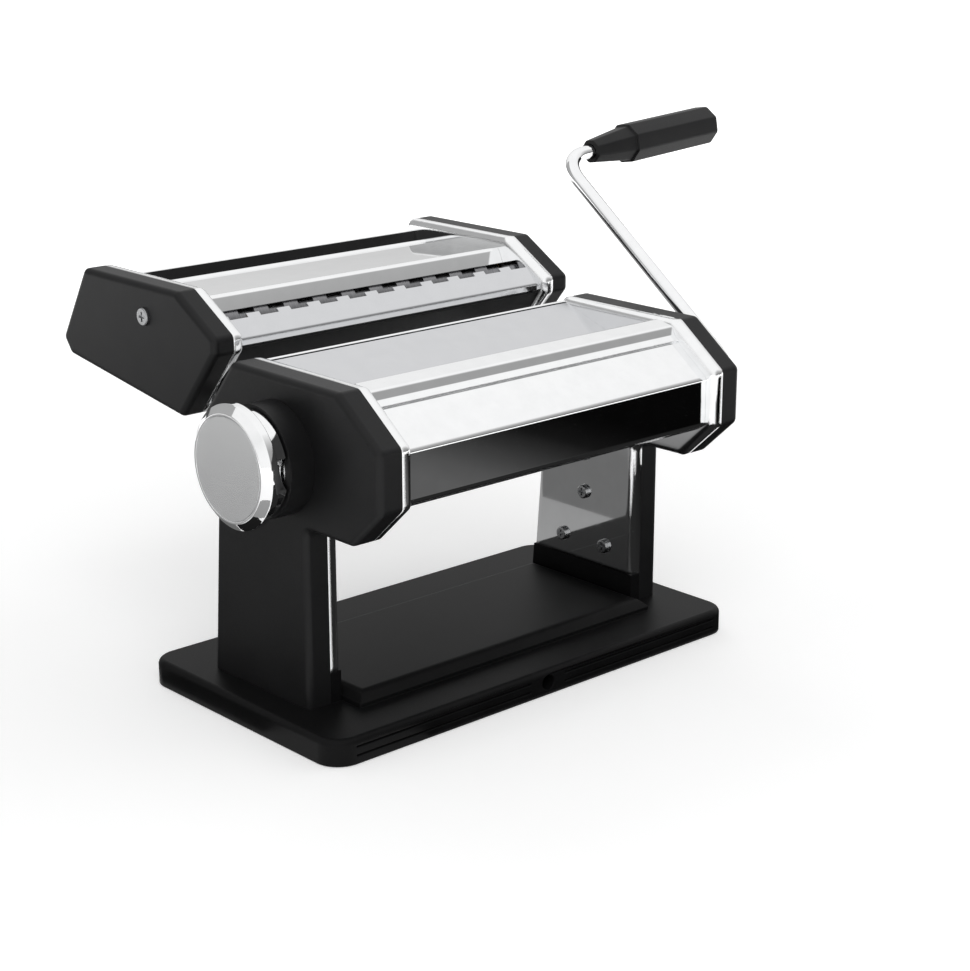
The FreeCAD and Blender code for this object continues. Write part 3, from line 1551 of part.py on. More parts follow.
pieces = all_pieces()
doc.recompute()
for item in doc.Objects:
    if "Invalid" in item.State or "Error" in item.State:
        raise RuntimeError(f"{item.Label} failed: {item.State}")
for piece in pieces:
    if piece.Shape.isNull() or not piece.Shape.isValid():
        raise RuntimeError(f"{piece.Label} has no valid shape")

os.makedirs("parts", exist_ok=True)
for piece in pieces:
    piece.Shape.exportStep(f"parts/{piece.Label}.step")
    print(f"{piece.Label}: {len(piece.Shape.Solids)} solid(s), {piece.Shape.Volume / 1000:.2f} cm3")
print(f"{len(pieces)} nodes")
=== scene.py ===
# %% [markdown]
# A hand-cranked pasta roller with a lift-off double cutter. The machine's working parts come
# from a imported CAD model, which stays where it is. This file gives every surface its finish,
# and remakes the pieces that need finer shapes than their CAD solids have: rounded edges,
# cutting rings and a coil spring.
# Blender works in metres here, in the CAD model's own frame: +X is the crank's side, -Y the
# front and +Z up, with the origin on the table under the middle of the base.

# %% Load the CAD model
import json
import math

import bmesh
import bpy
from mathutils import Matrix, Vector


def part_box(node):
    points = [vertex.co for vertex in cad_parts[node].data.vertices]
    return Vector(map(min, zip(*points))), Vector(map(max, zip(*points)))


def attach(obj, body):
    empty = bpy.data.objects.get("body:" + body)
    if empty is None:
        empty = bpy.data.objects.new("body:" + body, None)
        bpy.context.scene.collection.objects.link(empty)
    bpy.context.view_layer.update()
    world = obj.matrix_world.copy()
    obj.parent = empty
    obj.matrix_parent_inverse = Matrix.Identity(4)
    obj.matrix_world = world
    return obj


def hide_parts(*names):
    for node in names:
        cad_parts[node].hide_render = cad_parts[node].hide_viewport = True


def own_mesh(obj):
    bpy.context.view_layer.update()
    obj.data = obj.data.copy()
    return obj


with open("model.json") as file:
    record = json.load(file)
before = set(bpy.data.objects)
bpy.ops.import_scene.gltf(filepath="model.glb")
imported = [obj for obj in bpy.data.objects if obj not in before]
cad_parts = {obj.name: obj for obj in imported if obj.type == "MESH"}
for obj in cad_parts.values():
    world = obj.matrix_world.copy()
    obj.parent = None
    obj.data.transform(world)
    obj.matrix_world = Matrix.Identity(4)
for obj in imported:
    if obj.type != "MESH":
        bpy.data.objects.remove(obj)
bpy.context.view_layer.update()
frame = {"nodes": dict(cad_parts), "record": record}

MM = 0.001
nodes = frame["nodes"]
record = frame["record"]
slot_of = {part["node"]: part["material_slot"] for part in record["subparts"]}
body_of = {node: body for body, held in record["behaviour"]["bodies"].items() for node in held}

# %% [markdown]
# Finishes, repeated shapes and light are all made with nodes here, so the first helper adds a
# node to any tree. Each of the node's inputs gets a plain value or another node's output. The
# settings come first, because some of them bring inputs that aren't there before.

# %% Helpers for nodes
def add(tree, kind, inputs=None, **settings):
    """A new node in a tree, with its settings and inputs."""
    node = tree.nodes.new(kind)
    for setting, value in settings.items():
        setattr(node, setting, value)
    for socket, source in (inputs or {}).items():
        if isinstance(source, bpy.types.NodeSocket):
            tree.links.new(source, node.inputs[socket])
        else:
            node.inputs[socket].default_value = source
    return node


def reckoned(tree, operation, *terms):
    """The result of a Math node."""
    reckoner = add(tree, "ShaderNodeMath", dict(enumerate(terms)), operation=operation)
    return reckoner.outputs["Value"]


def rescaled(tree, source, given, wanted, **settings):
    """Values of one range stretched over another, and held at its ends."""
    span = add(tree, "ShaderNodeMapRange", {
        "Value": source, "From Min": given[0], "From Max": given[1],
        "To Min": wanted[0], "To Max": wanted[1]}, **settings)
    return span.outputs["Result"]

# %% [markdown]
# Every finish below is a few nodes on the Principled shader. They start from noise on Object
# coordinates, which stay fixed to the piece when it moves. The noise drives a small range of
# roughness and colour, and a bump for the grain. These helpers keep each finish short.

# %% Helpers for finishes
NOISE_MIDDLE = (0.3, 0.7)
TINT_MIDDLE = (0.35, 0.65)


def new_finish(name, metallic=0.0):
    """A material with its node tree and its Principled shader."""
    material = bpy.data.materials.new(name)
    material.use_nodes = True
    shader = material.node_tree.nodes["Principled BSDF"]
    shader.inputs["Metallic"].default_value = metallic
    return material, material.node_tree, shader


def speckle(tree, grains_per_metre, stretch=(1, 1, 1), detail=4.0):
    """Noise on the piece's own coordinates, finer along an axis with a larger stretch."""
    place = add(tree, "ShaderNodeTexCoord").outputs["Object"]
    mapping = add(tree, "ShaderNodeMapping", {"Vector": place, "Scale": stretch})
    noise = add(tree, "ShaderNodeTexNoise", {
        "Vector": mapping.outputs["Vector"], "Scale": grains_per_metre, "Detail": detail})
    return noise.outputs["Fac"]


def tint(tree, noise, tones):
    """A ramp from a dark tone to a light one over the middle of the noise."""
    ramp = add(tree, "ShaderNodeValToRGB", {"Fac": noise})
    for stop, place, tone in zip(ramp.color_ramp.elements, TINT_MIDDLE, tones):
        stop.position = place
        stop.color = (*tone, 1)
    return ramp.outputs["Color"]


def relief(tree, noise, height, strength, under=None):
    """A bump of that height in metres, on top of another normal if given."""
    inputs = {"Height": noise, "Distance": height, "Strength": strength}
    if under:
        inputs["Normal"] = under
    return add(tree, "ShaderNodeBump", inputs).outputs["Normal"]


def dress(tree, shader, colour, roughness, normal):
    """Link a finish's colour, roughness and grain to its shader."""
    tree.links.new(colour, shader.inputs["Base Color"])
    tree.links.new(roughness, shader.inputs["Roughness"])
    tree.links.new(normal, shader.inputs["Normal"])

# %% [markdown]
# Black moulded plastic: the covers, the base and the grip. The mould's fine spark texture is a
# bump a few hundredths of a millimetre high, and it makes the sheen a little uneven. A low
# specular level keeps the black deep where the room is bright. The base gets a darker copy of
# the same black with a lower specular level, as painted shade: its level top faces the bright
# room more than the upright covers do.

# %% Black moulded plastic
MOTTLES_PER_METRE = 60
SPARKS_PER_METRE = 2600
SPARK_HEIGHT = 0.03 * MM
MOULDED_ROUGHNESS = (0.4, 0.5)


def moulded_black(name, tones, specular):
    material, tree, shader = new_finish(name)
    mottles = speckle(tree, MOTTLES_PER_METRE)
    sparks = speckle(tree, SPARKS_PER_METRE, detail=2.0)
    dress(tree, shader, tint(tree, mottles, tones),
          rescaled(tree, sparks, NOISE_MIDDLE, MOULDED_ROUGHNESS),
          relief(tree, sparks, SPARK_HEIGHT, strength=0.4))
    shader.inputs["Specular IOR Level"].default_value = specular
    return material


cover_black = moulded_black(
    "moulded_black", ((0.006, 0.006, 0.0065), (0.008, 0.008, 0.0085)), specular=0.26)
# Painted shade: the base's black is a darker, less shiny copy of the covers' black.
base_black_painted_shade = moulded_black(
    "base_black_painted_shade", ((0.004, 0.004, 0.0042), (0.0055, 0.0055, 0.0058)), specular=0.1)
print("plastics:", cover_black.name, base_black_painted_shade.name)

# %% [markdown]
# Chrome plate on bent steel sheet. A mirror shows the sheet's slight unevenness, so a long soft
# bump lets straight reflections wander a little. Fine wiping marks vary the roughness. The bright
# rims are rolled at their edges: their solids have the inner edge round, and a Bevel node, which
# bends the light as a rounded edge would, softens the others. Two plain guides are bare
# stainless steel, greyer and less sharp.

# %% Chrome and stainless sheet
WIPES_PER_METRE = 140
BUCKLES_PER_METRE = 16
BUCKLE_HEIGHT = 0.6 * MM
CHROME_TONES = ((0.9, 0.905, 0.91), (0.93, 0.935, 0.94))
CHROME_ROUGHNESS = (0.03, 0.055)
RIM_ROLL = 2.2 * MM
ROLL_SAMPLES = 12


def bright_sheet(name, tones, roughness, edge_roll=0.0):
    material, tree, shader = new_finish(name, metallic=1.0)
    wipes = speckle(tree, WIPES_PER_METRE)
    buckles = speckle(tree, BUCKLES_PER_METRE, detail=0.0)
    rolled = None
    if edge_roll:
        roll = add(tree, "ShaderNodeBevel", {"Radius": edge_roll}, samples=ROLL_SAMPLES)
        rolled = roll.outputs["Normal"]
    dress(tree, shader, tint(tree, wipes, tones),
          rescaled(tree, wipes, NOISE_MIDDLE, roughness),
          relief(tree, buckles, BUCKLE_HEIGHT, strength=0.08, under=rolled))
    return material


chrome = bright_sheet("chrome_plate", CHROME_TONES, CHROME_ROUGHNESS)
rim_chrome = bright_sheet("rim_chrome", CHROME_TONES, CHROME_ROUGHNESS, edge_roll=RIM_ROLL)
stainless = bright_sheet(
    "stainless_sheet", ((0.635, 0.64, 0.655), (0.65, 0.655, 0.67)), (0.08, 0.12))
print("sheets:", chrome.name, rim_chrome.name, stainless.name)

# %% [markdown]
# Turned and ground metal: the rollers, shafts, gears and bushes. The tool leaves rings round the
# axis, so the noise is stretched: fine along X and long across it.

# %% Turned metal
TOOL_MARKS_PER_METRE = 90
TOOL_MARK_STRETCH = (40, 1, 1)
TOOL_MARK_HEIGHT = 0.02 * MM


def turned_metal(name, tones, roughness):
    material, tree, shader = new_finish(name, metallic=1.0)
    marks = speckle(tree, TOOL_MARKS_PER_METRE, stretch=TOOL_MARK_STRETCH, detail=3.0)
    dress(tree, shader, tint(tree, marks, tones),
          rescaled(tree, marks, NOISE_MIDDLE, roughness),
          relief(tree, marks, TOOL_MARK_HEIGHT, strength=0.6))
    return material


roller_steel = turned_metal("ground_rollers", ((0.6, 0.6, 0.61), (0.72, 0.72, 0.73)), (0.16, 0.28))
gear_steel = turned_metal("cut_gears", ((0.34, 0.34, 0.35), (0.44, 0.44, 0.45)), (0.28, 0.42))
bronze = turned_metal("bronze_bushes", ((0.5, 0.33, 0.15), (0.62, 0.43, 0.21)), (0.25, 0.4))
# Painted shade: the cutting rollers are the same bright ground steel painted dark, for the deep
# slot they turn in.
cutter_steel_painted_shade = turned_metal("cutter_steel_painted_shade", ((0.24, 0.24, 0.25), (0.32, 0.32, 0.33)), (0.25, 0.38))
print("turned:", roller_steel.name, gear_steel.name, bronze.name, cutter_steel_painted_shade.name)

# %% [markdown]
# Satin metal: the aluminium disc of the knob, which is blasted with fine beads, and the zinc on
# the screws. Both have an even, dull grain, so here the noise isn't stretched.

# %% Satin metal
BEADS_PER_METRE = 1500
CLOUDS_PER_METRE = 45
BEAD_HEIGHT = 0.02 * MM


def satin_metal(name, tones, roughness):
    material, tree, shader = new_finish(name, metallic=1.0)
    beads = speckle(tree, BEADS_PER_METRE, detail=2.0)
    clouds = speckle(tree, CLOUDS_PER_METRE)
    dress(tree, shader, tint(tree, clouds, tones),
          rescaled(tree, beads, NOISE_MIDDLE, roughness),
          relief(tree, beads, BEAD_HEIGHT, strength=0.5))
    return material


aluminium = satin_metal(
    "satin_aluminium", ((0.86, 0.865, 0.87), (0.9, 0.905, 0.91)), (0.2, 0.26))
zinc = satin_metal("zinc_screws", ((0.34, 0.345, 0.35), (0.42, 0.425, 0.43)), (0.24, 0.34))
print("satin:", aluminium.name, zinc.name)

# %% [markdown]
# Two dull plastics are left: the rubber of the feet, and the white combs under the cutter. Small
# pits keep their sheen uneven.

# %% Rubber and white plastic
STAINS_PER_METRE = 80
PITS_PER_METRE = 1800
PIT_HEIGHT = 0.04 * MM


def dull_plastic(name, tones, roughness):
    material, tree, shader = new_finish(name)
    stains = speckle(tree, STAINS_PER_METRE)
    pits = speckle(tree, PITS_PER_METRE, detail=3.0)
    dress(tree, shader, tint(tree, stains, tones),
          rescaled(tree, pits, NOISE_MIDDLE, roughness),
          relief(tree, pits, PIT_HEIGHT, strength=0.6))
    return material


rubber = dull_plastic("foot_rubber", ((0.012, 0.012, 0.012), (0.018, 0.018, 0.018)), (0.7, 0.85))
comb_white = dull_plastic("comb_plastic", ((0.74, 0.73, 0.69), (0.8, 0.79, 0.76)), (0.4, 0.52))
print("dull:", rubber.name, comb_white.name)

# %% [markdown]
# The record gives each CAD node a material slot, and each slot has one finish. Some nodes differ
# from the rest of their slot and are named one by one.

# %% Finish of each node
finish_of_slot = {
    "black_plastic": cover_black,
    "chrome": chrome,
    "roller_steel": roller_steel,
    "gear_steel": gear_steel,
    "bush_bronze": bronze,
    "satin_aluminium": aluminium,
    "screw_steel": zinc,
    "rubber": rubber,
    "white_plastic": comb_white,
}
own_finish = {
    "left_side_frame": rim_chrome,
    "right_side_frame": rim_chrome,
    "cutter_left_frame": rim_chrome,
    "cutter_right_frame": rim_chrome,
    # Painted shade: the base takes the darker copy of the black plastic.
    "base_moulding": base_black_painted_shade,
    "cutter_front_guide": stainless,
    "rear_hopper_guide": stainless,
    # Painted shade: the four cutting rollers take the dark copy of the ground steel.
    "fettuccine_front_roller": cutter_steel_painted_shade,
    "fettuccine_rear_roller": cutter_steel_painted_shade,
    "tagliolini_front_roller": cutter_steel_painted_shade,
    "tagliolini_rear_roller": cutter_steel_painted_shade,
}


def finish_of(name):
    return own_finish.get(name, finish_of_slot[slot_of[name]])


for name, node in nodes.items():
    node.data.materials.clear()
    node.data.materials.append(finish_of(name))
print(len(set(map(finish_of, nodes))), "finishes on", len(nodes), "nodes")

# %% [markdown]
# The CAD solids have sharp edges where the real mouldings and sheets are rounded by a few
# tenths of a millimetre, and a rounded edge is what catches a thin line of light. The Bevel
# modifier does this on a copy of the CAD mesh. The copy's doubled points are merged first, or the
# bevel would find edges that aren't there. The triangles of a plain sheet's flats are joined too;
# the base's aren't, because its flats have holes. Weighted normals keep the flat faces flat.

# %% Helpers that finish and place a mesh
def baked(mesh, set_modifiers):
    """The plain mesh that comes out of the modifiers put on a mesh."""
    bench = bpy.data.objects.new("bench", mesh)
    bpy.context.scene.collection.objects.link(bench)
    set_modifiers(bench)
    graph = bpy.context.evaluated_depsgraph_get()
    result = bpy.data.meshes.new_from_object(bench.evaluated_get(graph))
    bpy.data.objects.remove(bench)
    return result


def take_place(mesh, node, ending):
    """An object for the mesh, which stands for a CAD node and moves with its body."""
    piece = bpy.data.objects.new(node + ending, mesh)
    bpy.context.scene.collection.objects.link(piece)
    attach(piece, body_of[node])
    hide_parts(node)
    print(piece.name, len(mesh.polygons), "faces")
    return piece

# %% Soft edges
DOUBLES_WITHIN = 0.002 * MM
FLAT_WITHIN = math.radians(0.5)
EDGE_FROM = math.radians(30)


def merged_copy(node, join_flats):
    """A copy of a node's mesh with its doubled points merged and every face smooth."""
    mesh = nodes[node].data.copy()
    if "custom_normal" in mesh.attributes:
        mesh.attributes.remove(mesh.attributes["custom_normal"])
    shell = bmesh.new()
    shell.from_mesh(mesh)
    bmesh.ops.remove_doubles(shell, verts=shell.verts, dist=DOUBLES_WITHIN)
    if join_flats:
        bmesh.ops.dissolve_limit(
            shell, angle_limit=FLAT_WITHIN, verts=shell.verts, edges=shell.edges)
    for part in (*shell.edges, *shell.faces):
        part.smooth = True
    shell.to_mesh(mesh)
    shell.free()
    return mesh


def soft_edged(node, width, join_flats=True):
    def rounding(bench):
        bevel = bench.modifiers.new("rounding", "BEVEL")
        bevel.width = width
        bevel.segments = 2
        bevel.limit_method = "ANGLE"
        bevel.angle_limit = EDGE_FROM
        bevel.use_clamp_overlap = False
        bench.modifiers.new("flats", "WEIGHTED_NORMAL")

    return take_place(baked(merged_copy(node, join_flats), rounding), node, "_soft")


EDGE_WIDTHS = {
    "knob_body": 0.3 * MM,
    "crank_grip": 0.6 * MM,
    "front_cover": 0.2 * MM,
    "front_hopper_guide": 0.2 * MM,
    "rear_cover": 0.2 * MM,
    "rear_hopper_guide": 0.2 * MM,
    "cutter_bridge": 0.2 * MM,
    "cutter_front_guide": 0.15 * MM,
    # Painted shade: the black apron across the cutter's front stands for the shade in the gap
    # under the front guide.
    "cutter_apron": 0.2 * MM,
    "cutter_rear_guide": 0.3 * MM,
    "cutter_rear_cover": 0.2 * MM,
}
BASE_EDGE_WIDTH = 0.25 * MM

for node, width in EDGE_WIDTHS.items():
    soft_edged(node, width)
soft_edged("base_moulding", BASE_EDGE_WIDTH, join_flats=False)

# %% [markdown]
# Each cutting roller is a shaft with a row of rings. The shaft is a profile turned round the
# axis. One ring is a rectangle with rounded corners, swept round a circle, and Geometry Nodes
# repeat it along the row: the count and the pitch are inputs, so two kinds of cutter share a tree.

# %% Helpers for Geometry Nodes
def new_tree(name, inputs, result):
    """A tree with named inputs, and the socket that takes its result."""
    tree = bpy.data.node_groups.new(name, "GeometryNodeTree")
    for label, kind in inputs.items():
        tree.interface.new_socket(label, in_out="INPUT", socket_type="NodeSocket" + kind)
    tree.interface.new_socket(result, in_out="OUTPUT", socket_type="NodeSocketGeometry")
    given = tree.nodes.new("NodeGroupInput").outputs
    return tree, given, tree.nodes.new("NodeGroupOutput").inputs[result]


def coated(tree, geometry, finish):
    """Instances made real and given their finish, which is how each tree ends."""
    real = add(tree, "GeometryNodeRealizeInstances", {"Geometry": geometry})
    coat = add(tree, "GeometryNodeSetMaterial", {
        "Geometry": real.outputs["Geometry"], "Material": finish})
    return coat.outputs["Geometry"]


def set_inputs(modifier, values):
    """Give a Geometry Nodes modifier its named inputs, through their sockets' identifiers."""
    for item in modifier.node_group.interface.items_tree:
        if item.in_out == "INPUT" and item.name in values:
            modifier[item.identifier] = values[item.name]


ALONG_X = (0, math.radians(90), 0)

# %% Tree for a row of rings
RING_STEPS = 72
RING_CORNER_STEPS = 3


def one_ring(tree, given):
    """A band with rounded corners, swept round a circle."""
    height = reckoned(tree, "SUBTRACT", given["Ring radius"], given["Inner radius"])
    half_height = reckoned(tree, "MULTIPLY", height, 0.5)
    middle = reckoned(tree, "ADD", given["Inner radius"], half_height)
    band = add(tree, "GeometryNodeCurvePrimitiveQuadrilateral", {
        "Width": height, "Height": given["Ring width"]})
    corners = add(tree, "GeometryNodeFilletCurve", {
        "Curve": band.outputs["Curve"], "Count": RING_CORNER_STEPS,
        "Radius": given["Edge round"]}, mode="POLY")
    hoop = add(tree, "GeometryNodeCurvePrimitiveCircle", {
        "Resolution": RING_STEPS, "Radius": middle})
    ring = add(tree, "GeometryNodeCurveToMesh", {
        "Curve": hoop.outputs["Curve"], "Profile Curve": corners.outputs["Curve"]})
    return ring.outputs["Mesh"]


def ring_tree():
    tree, given, roller = new_tree("cutter_rings", {
        "Shaft": "Geometry", "Rings": "Int", "First ring": "Vector", "Pitch": "Float",
        "Ring width": "Float", "Ring radius": "Float", "Inner radius": "Float",
        "Edge round": "Float", "Finish": "Material"}, "Roller")
    step = add(tree, "ShaderNodeCombineXYZ", {"X": given["Pitch"]})
    row = add(tree, "GeometryNodeMeshLine", {
        "Count": given["Rings"], "Start Location": given["First ring"],
        "Offset": step.outputs["Vector"]})
    rings = add(tree, "GeometryNodeInstanceOnPoints", {
        "Points": row.outputs["Mesh"], "Instance": one_ring(tree, given), "Rotation": ALONG_X})
    whole = add(tree, "GeometryNodeJoinGeometry", {"Geometry": given["Shaft"]})
    tree.links.new(rings.outputs["Instances"], whole.inputs["Geometry"])
    tree.links.new(coated(tree, whole.outputs["Geometry"], given["Finish"]), roller)
    return tree


rings_tree = ring_tree()
print(rings_tree.name, "has", len(rings_tree.nodes), "nodes")

# %% Shafts of the cutting rollers
LATHE_STEPS = 64
SHAFT_DOUBLES_WITHIN = 0.001 * MM
ROLLER_END = 75 * MM
CORE_RADIUS = 7.0 * MM
JOURNAL_RADIUS = 4.6 * MM
SOCKET_RADIUS = 3.05 * MM
SOCKET_DEPTH = 16 * MM


def turned_mesh(name, outline, axis):
    """An outline of (x, radius) points turned round an axis along X."""
    points, faces = [], []
    for step in range(LATHE_STEPS):
        turn = math.tau * step / LATHE_STEPS
        across = Vector((0, -math.sin(turn), math.cos(turn)))
        points += [axis + Vector((x, 0, 0)) + radius * across for x, radius in outline]
        here = step * len(outline)
        there = (step + 1) % LATHE_STEPS * len(outline)
        for place in range(len(outline) - 1):
            faces.append((here + place, here + place + 1, there + place + 1, there + place))
    mesh = bpy.data.meshes.new(name)
    mesh.from_pydata(points, [], faces)
    shape = bmesh.new()
    shape.from_mesh(mesh)
    bmesh.ops.remove_doubles(shape, verts=shape.verts, dist=SHAFT_DOUBLES_WITHIN)
    bmesh.ops.recalc_face_normals(shape, faces=shape.faces)
    shape.to_mesh(mesh)
    shape.free()
    return mesh


def shaft_outline(left, right, has_socket):
    outline = [(left, 0), (left, JOURNAL_RADIUS),
               (-ROLLER_END, JOURNAL_RADIUS), (-ROLLER_END, CORE_RADIUS),
               (ROLLER_END, CORE_RADIUS), (ROLLER_END, JOURNAL_RADIUS), (right, JOURNAL_RADIUS)]
    if has_socket:
        bottom = right - SOCKET_DEPTH
        outline += [(right, SOCKET_RADIUS), (bottom, SOCKET_RADIUS), (bottom, 0)]
    else:
        outline += [(right, 0)]
    return outline

# %% Cutting rollers
RING_SINK = 0.2 * MM
RING_EDGE_ROUND = 0.25 * MM
SHARP_FROM = math.radians(35)


def cutting_roller(node, rings, pitch, ring_width, has_socket):
    low, high = (Vector(corner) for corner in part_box(node))
    axis = Vector((0, (low.y + high.y) / 2, (low.z + high.z) / 2))

    def add_rings(bench):
        row = bench.modifiers.new("rings", "NODES")
        row.node_group = rings_tree
        set_inputs(row, {
            "Rings": rings, "First ring": axis - Vector((pitch * (rings - 1) / 2, 0, 0)),
            "Pitch": pitch, "Ring width": ring_width, "Ring radius": (high.z - low.z) / 2,
            "Inner radius": CORE_RADIUS - RING_SINK, "Edge round": RING_EDGE_ROUND,
            "Finish": finish_of(node)})

    shaft = turned_mesh(node, shaft_outline(low.x, high.x, has_socket), axis)
    mesh = baked(shaft, add_rings)
    mesh.set_sharp_from_angle(angle=SHARP_FROM)
    return take_place(mesh, node, "_ringed")


WIDE_PITCH, WIDE_RING = 14.2 * MM, 6.8 * MM
NARROW_PITCH, NARROW_RING = 4.0 * MM, 1.7 * MM
cutting_roller("fettuccine_front_roller", 11, WIDE_PITCH, WIDE_RING, has_socket=False)
cutting_roller("fettuccine_rear_roller", 10, WIDE_PITCH, WIDE_RING, has_socket=True)
cutting_roller("tagliolini_front_roller", 37, NARROW_PITCH, NARROW_RING, has_socket=True)
cutting_roller("tagliolini_rear_roller", 36, NARROW_PITCH, NARROW_RING, has_socket=False)

# %% [markdown]
# A small coil spring in the knob holds its pin in the index plate. It is hidden, but it is a
# real coil: Geometry Nodes sweep a round wire along a spiral.

# %% Tree for a coil
STEPS_PER_TURN = 28
WIRE_STEPS = 10


def coil_tree():
    tree, given, coil = new_tree("coil_spring", {
        "Turns": "Float", "Coil radius": "Float", "Coil length": "Float",
        "Wire radius": "Float", "Place": "Vector", "Finish": "Material"}, "Coil")
    spiral = add(tree, "GeometryNodeCurveSpiral", {
        "Resolution": STEPS_PER_TURN, "Rotations": given["Turns"],
        "Start Radius": given["Coil radius"], "End Radius": given["Coil radius"],
        "Height": given["Coil length"]})
    laid = add(tree, "GeometryNodeTransform", {
        "Geometry": spiral.outputs["Curve"], "Translation": given["Place"], "Rotation": ALONG_X})
    section = add(tree, "GeometryNodeCurvePrimitiveCircle", {
        "Resolution": WIRE_STEPS, "Radius": given["Wire radius"]})
    wire = add(tree, "GeometryNodeCurveToMesh", {
        "Curve": laid.outputs["Geometry"], "Profile Curve": section.outputs["Curve"],
        "Fill Caps": True})
    tree.links.new(coated(tree, wire.outputs["Mesh"], given["Finish"]), coil)
    return tree

# %% Knob spring
COIL_TURNS = 3.5
COIL_PLAY = 0.1 * MM
WIRE_RADIUS = 0.55 * MM


def knob_coil():
    low, high = (Vector(corner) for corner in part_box("knob_spring"))
    length = high.x - low.x
    outer = (high.z - low.z) / 2

    def wind(bench):
        winding = bench.modifiers.new("coil", "NODES")
        winding.node_group = coil_tree()
        set_inputs(winding, {
            "Turns": COIL_TURNS, "Coil radius": outer - WIRE_RADIUS - COIL_PLAY,
            "Coil length": length - 2 * WIRE_RADIUS, "Wire radius": WIRE_RADIUS,
            "Place": Vector((low.x + WIRE_RADIUS, (low.y + high.y) / 2, (low.z + high.z) / 2)),
            "Finish": finish_of("knob_spring")})

    mesh = baked(bpy.data.meshes.new("knob_spring"), wind)
    mesh.shade_smooth()
    coil = take_place(mesh, "knob_spring", "_coil")
    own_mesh(coil)


knob_coil()

# %% [markdown]
# The machine stands on white paper in a bright room. The floor takes a soft shadow from its
# diffuse part, and a little light of its own lifts it to white for the camera and for mirrors.
# It glows more further out, where the lamps fade, so the picture's edges stay white.

# %% Helpers for the studio
def bare_material(name):
    """A material with no shader, its node tree and the socket for its surface."""
    material = bpy.data.materials.new(name)
    material.use_nodes = True
    tree = material.node_tree
    tree.nodes.remove(tree.nodes["Principled BSDF"])
    return material, tree, tree.nodes["Material Output"].inputs["Surface"]


def flat_sheet(name, corners, height, material):
    """A level sheet with the given corners, as part of the studio."""
    mesh = bpy.data.meshes.new(name)
    mesh.from_pydata([(x, y, height) for x, y in corners], [], [tuple(range(len(corners)))])
    mesh.materials.append(material)
    sheet = bpy.data.objects.new(name, mesh)
    bpy.context.scene.collection.objects.link(sheet)
    return sheet


def oblong(low_x, low_y, high_x, high_y):
    return [(low_x, low_y), (high_x, low_y), (high_x, high_y), (low_x, high_y)]

# %% Floor
PAPER_WHITE = (0.86, 0.86, 0.86, 1)
GLOW_DISTANCES = (0.25, 1.3)
GLOW_LEVELS = (0.3, 0.85)
FLOOR_REACH = 6.0
FLOOR_HEIGHT = -0.2 * MM


def white_paper():
    material, tree, surface = bare_material("white_paper")
    paper = add(tree, "ShaderNodeBsdfDiffuse", {"Color": PAPER_WHITE})
    place = add(tree, "ShaderNodeTexCoord").outputs["Object"]
    distance = add(tree, "ShaderNodeVectorMath", {0: place}, operation="LENGTH").outputs["Value"]
    further = rescaled(
        tree, distance, GLOW_DISTANCES, GLOW_LEVELS, interpolation_type="SMOOTHSTEP")
    ray = add(tree, "ShaderNodeLightPath").outputs
    seen = reckoned(tree, "MAXIMUM", ray["Is Camera Ray"], ray["Is Glossy Ray"])
    glow = add(tree, "ShaderNodeEmission", {
        "Strength": reckoned(tree, "MULTIPLY", seen, further)})
    both = add(tree, "ShaderNodeAddShader", {
        0: paper.outputs["BSDF"], 1: glow.outputs["Emission"]})
    tree.links.new(both.outputs["Shader"], surface)
    return material


whole_floor = oblong(-FLOOR_REACH, -FLOOR_REACH, FLOOR_REACH, FLOOR_REACH)
floor = flat_sheet("paper_floor", whole_floor, FLOOR_HEIGHT, white_paper())
print(floor.name, "is", 2 * FLOOR_REACH, "m wide")

# %% [markdown]
# Chrome is only as good as what it mirrors, so there are cards where the chrome faces look. On
# the floor in front, one fades the front panel from grey to black, and a nearer one darkens the
# columns' rims and the panel's lower bend. Behind, two grey the knob's face and the right
# column's wall. Two small ones beside the knob shade the foot of its bevel, and a high one behind
# the machine greys the cutter's bridge. Only mirrors see them: they are hidden from the camera
# and throw no shadow.

# %% Cards for the mirrors
CARD_HEIGHT = 1 * MM
HIGH_CARD_HEIGHT = 0.4


def grey_ramp(tree, source, stops):
    """A ramp through (place, grey) stops."""
    ramp = add(tree, "ShaderNodeValToRGB", {"Fac": source})
    elements = ramp.color_ramp.elements
    elements.remove(elements[1])
    (first_place, first_grey), *others = stops
    elements[0].position = first_place
    elements[0].color = (first_grey, first_grey, first_grey, 1)
    for place, grey in others:
        elements.new(place).color = (grey, grey, grey, 1)
    return ramp.outputs["Color"]


def card_tones(name, span, tones):
    """A card whose grey runs through evenly spaced tones along a span of X."""
    material, tree, surface = bare_material(name)
    place = add(tree, "ShaderNodeTexCoord").outputs["Object"]
    axes = add(tree, "ShaderNodeSeparateXYZ", {"Vector": place})
    along = rescaled(tree, axes.outputs["X"], span, (0, 1))
    stops = [(number / (len(tones) - 1), tone) for number, tone in enumerate(tones)]
    glow = add(tree, "ShaderNodeEmission", {"Color": grey_ramp(tree, along, stops)})
    tree.links.new(glow.outputs["Emission"], surface)
    return material


def mirror_card(name, corners, span, tones, height=CARD_HEIGHT):
    card = flat_sheet(name, corners, height, card_tones(name, span, tones))
    card.visible_camera = False
    card.visible_diffuse = False
    card.visible_shadow = False
    card.visible_transmission = False
    print(name, "with tones", tones)


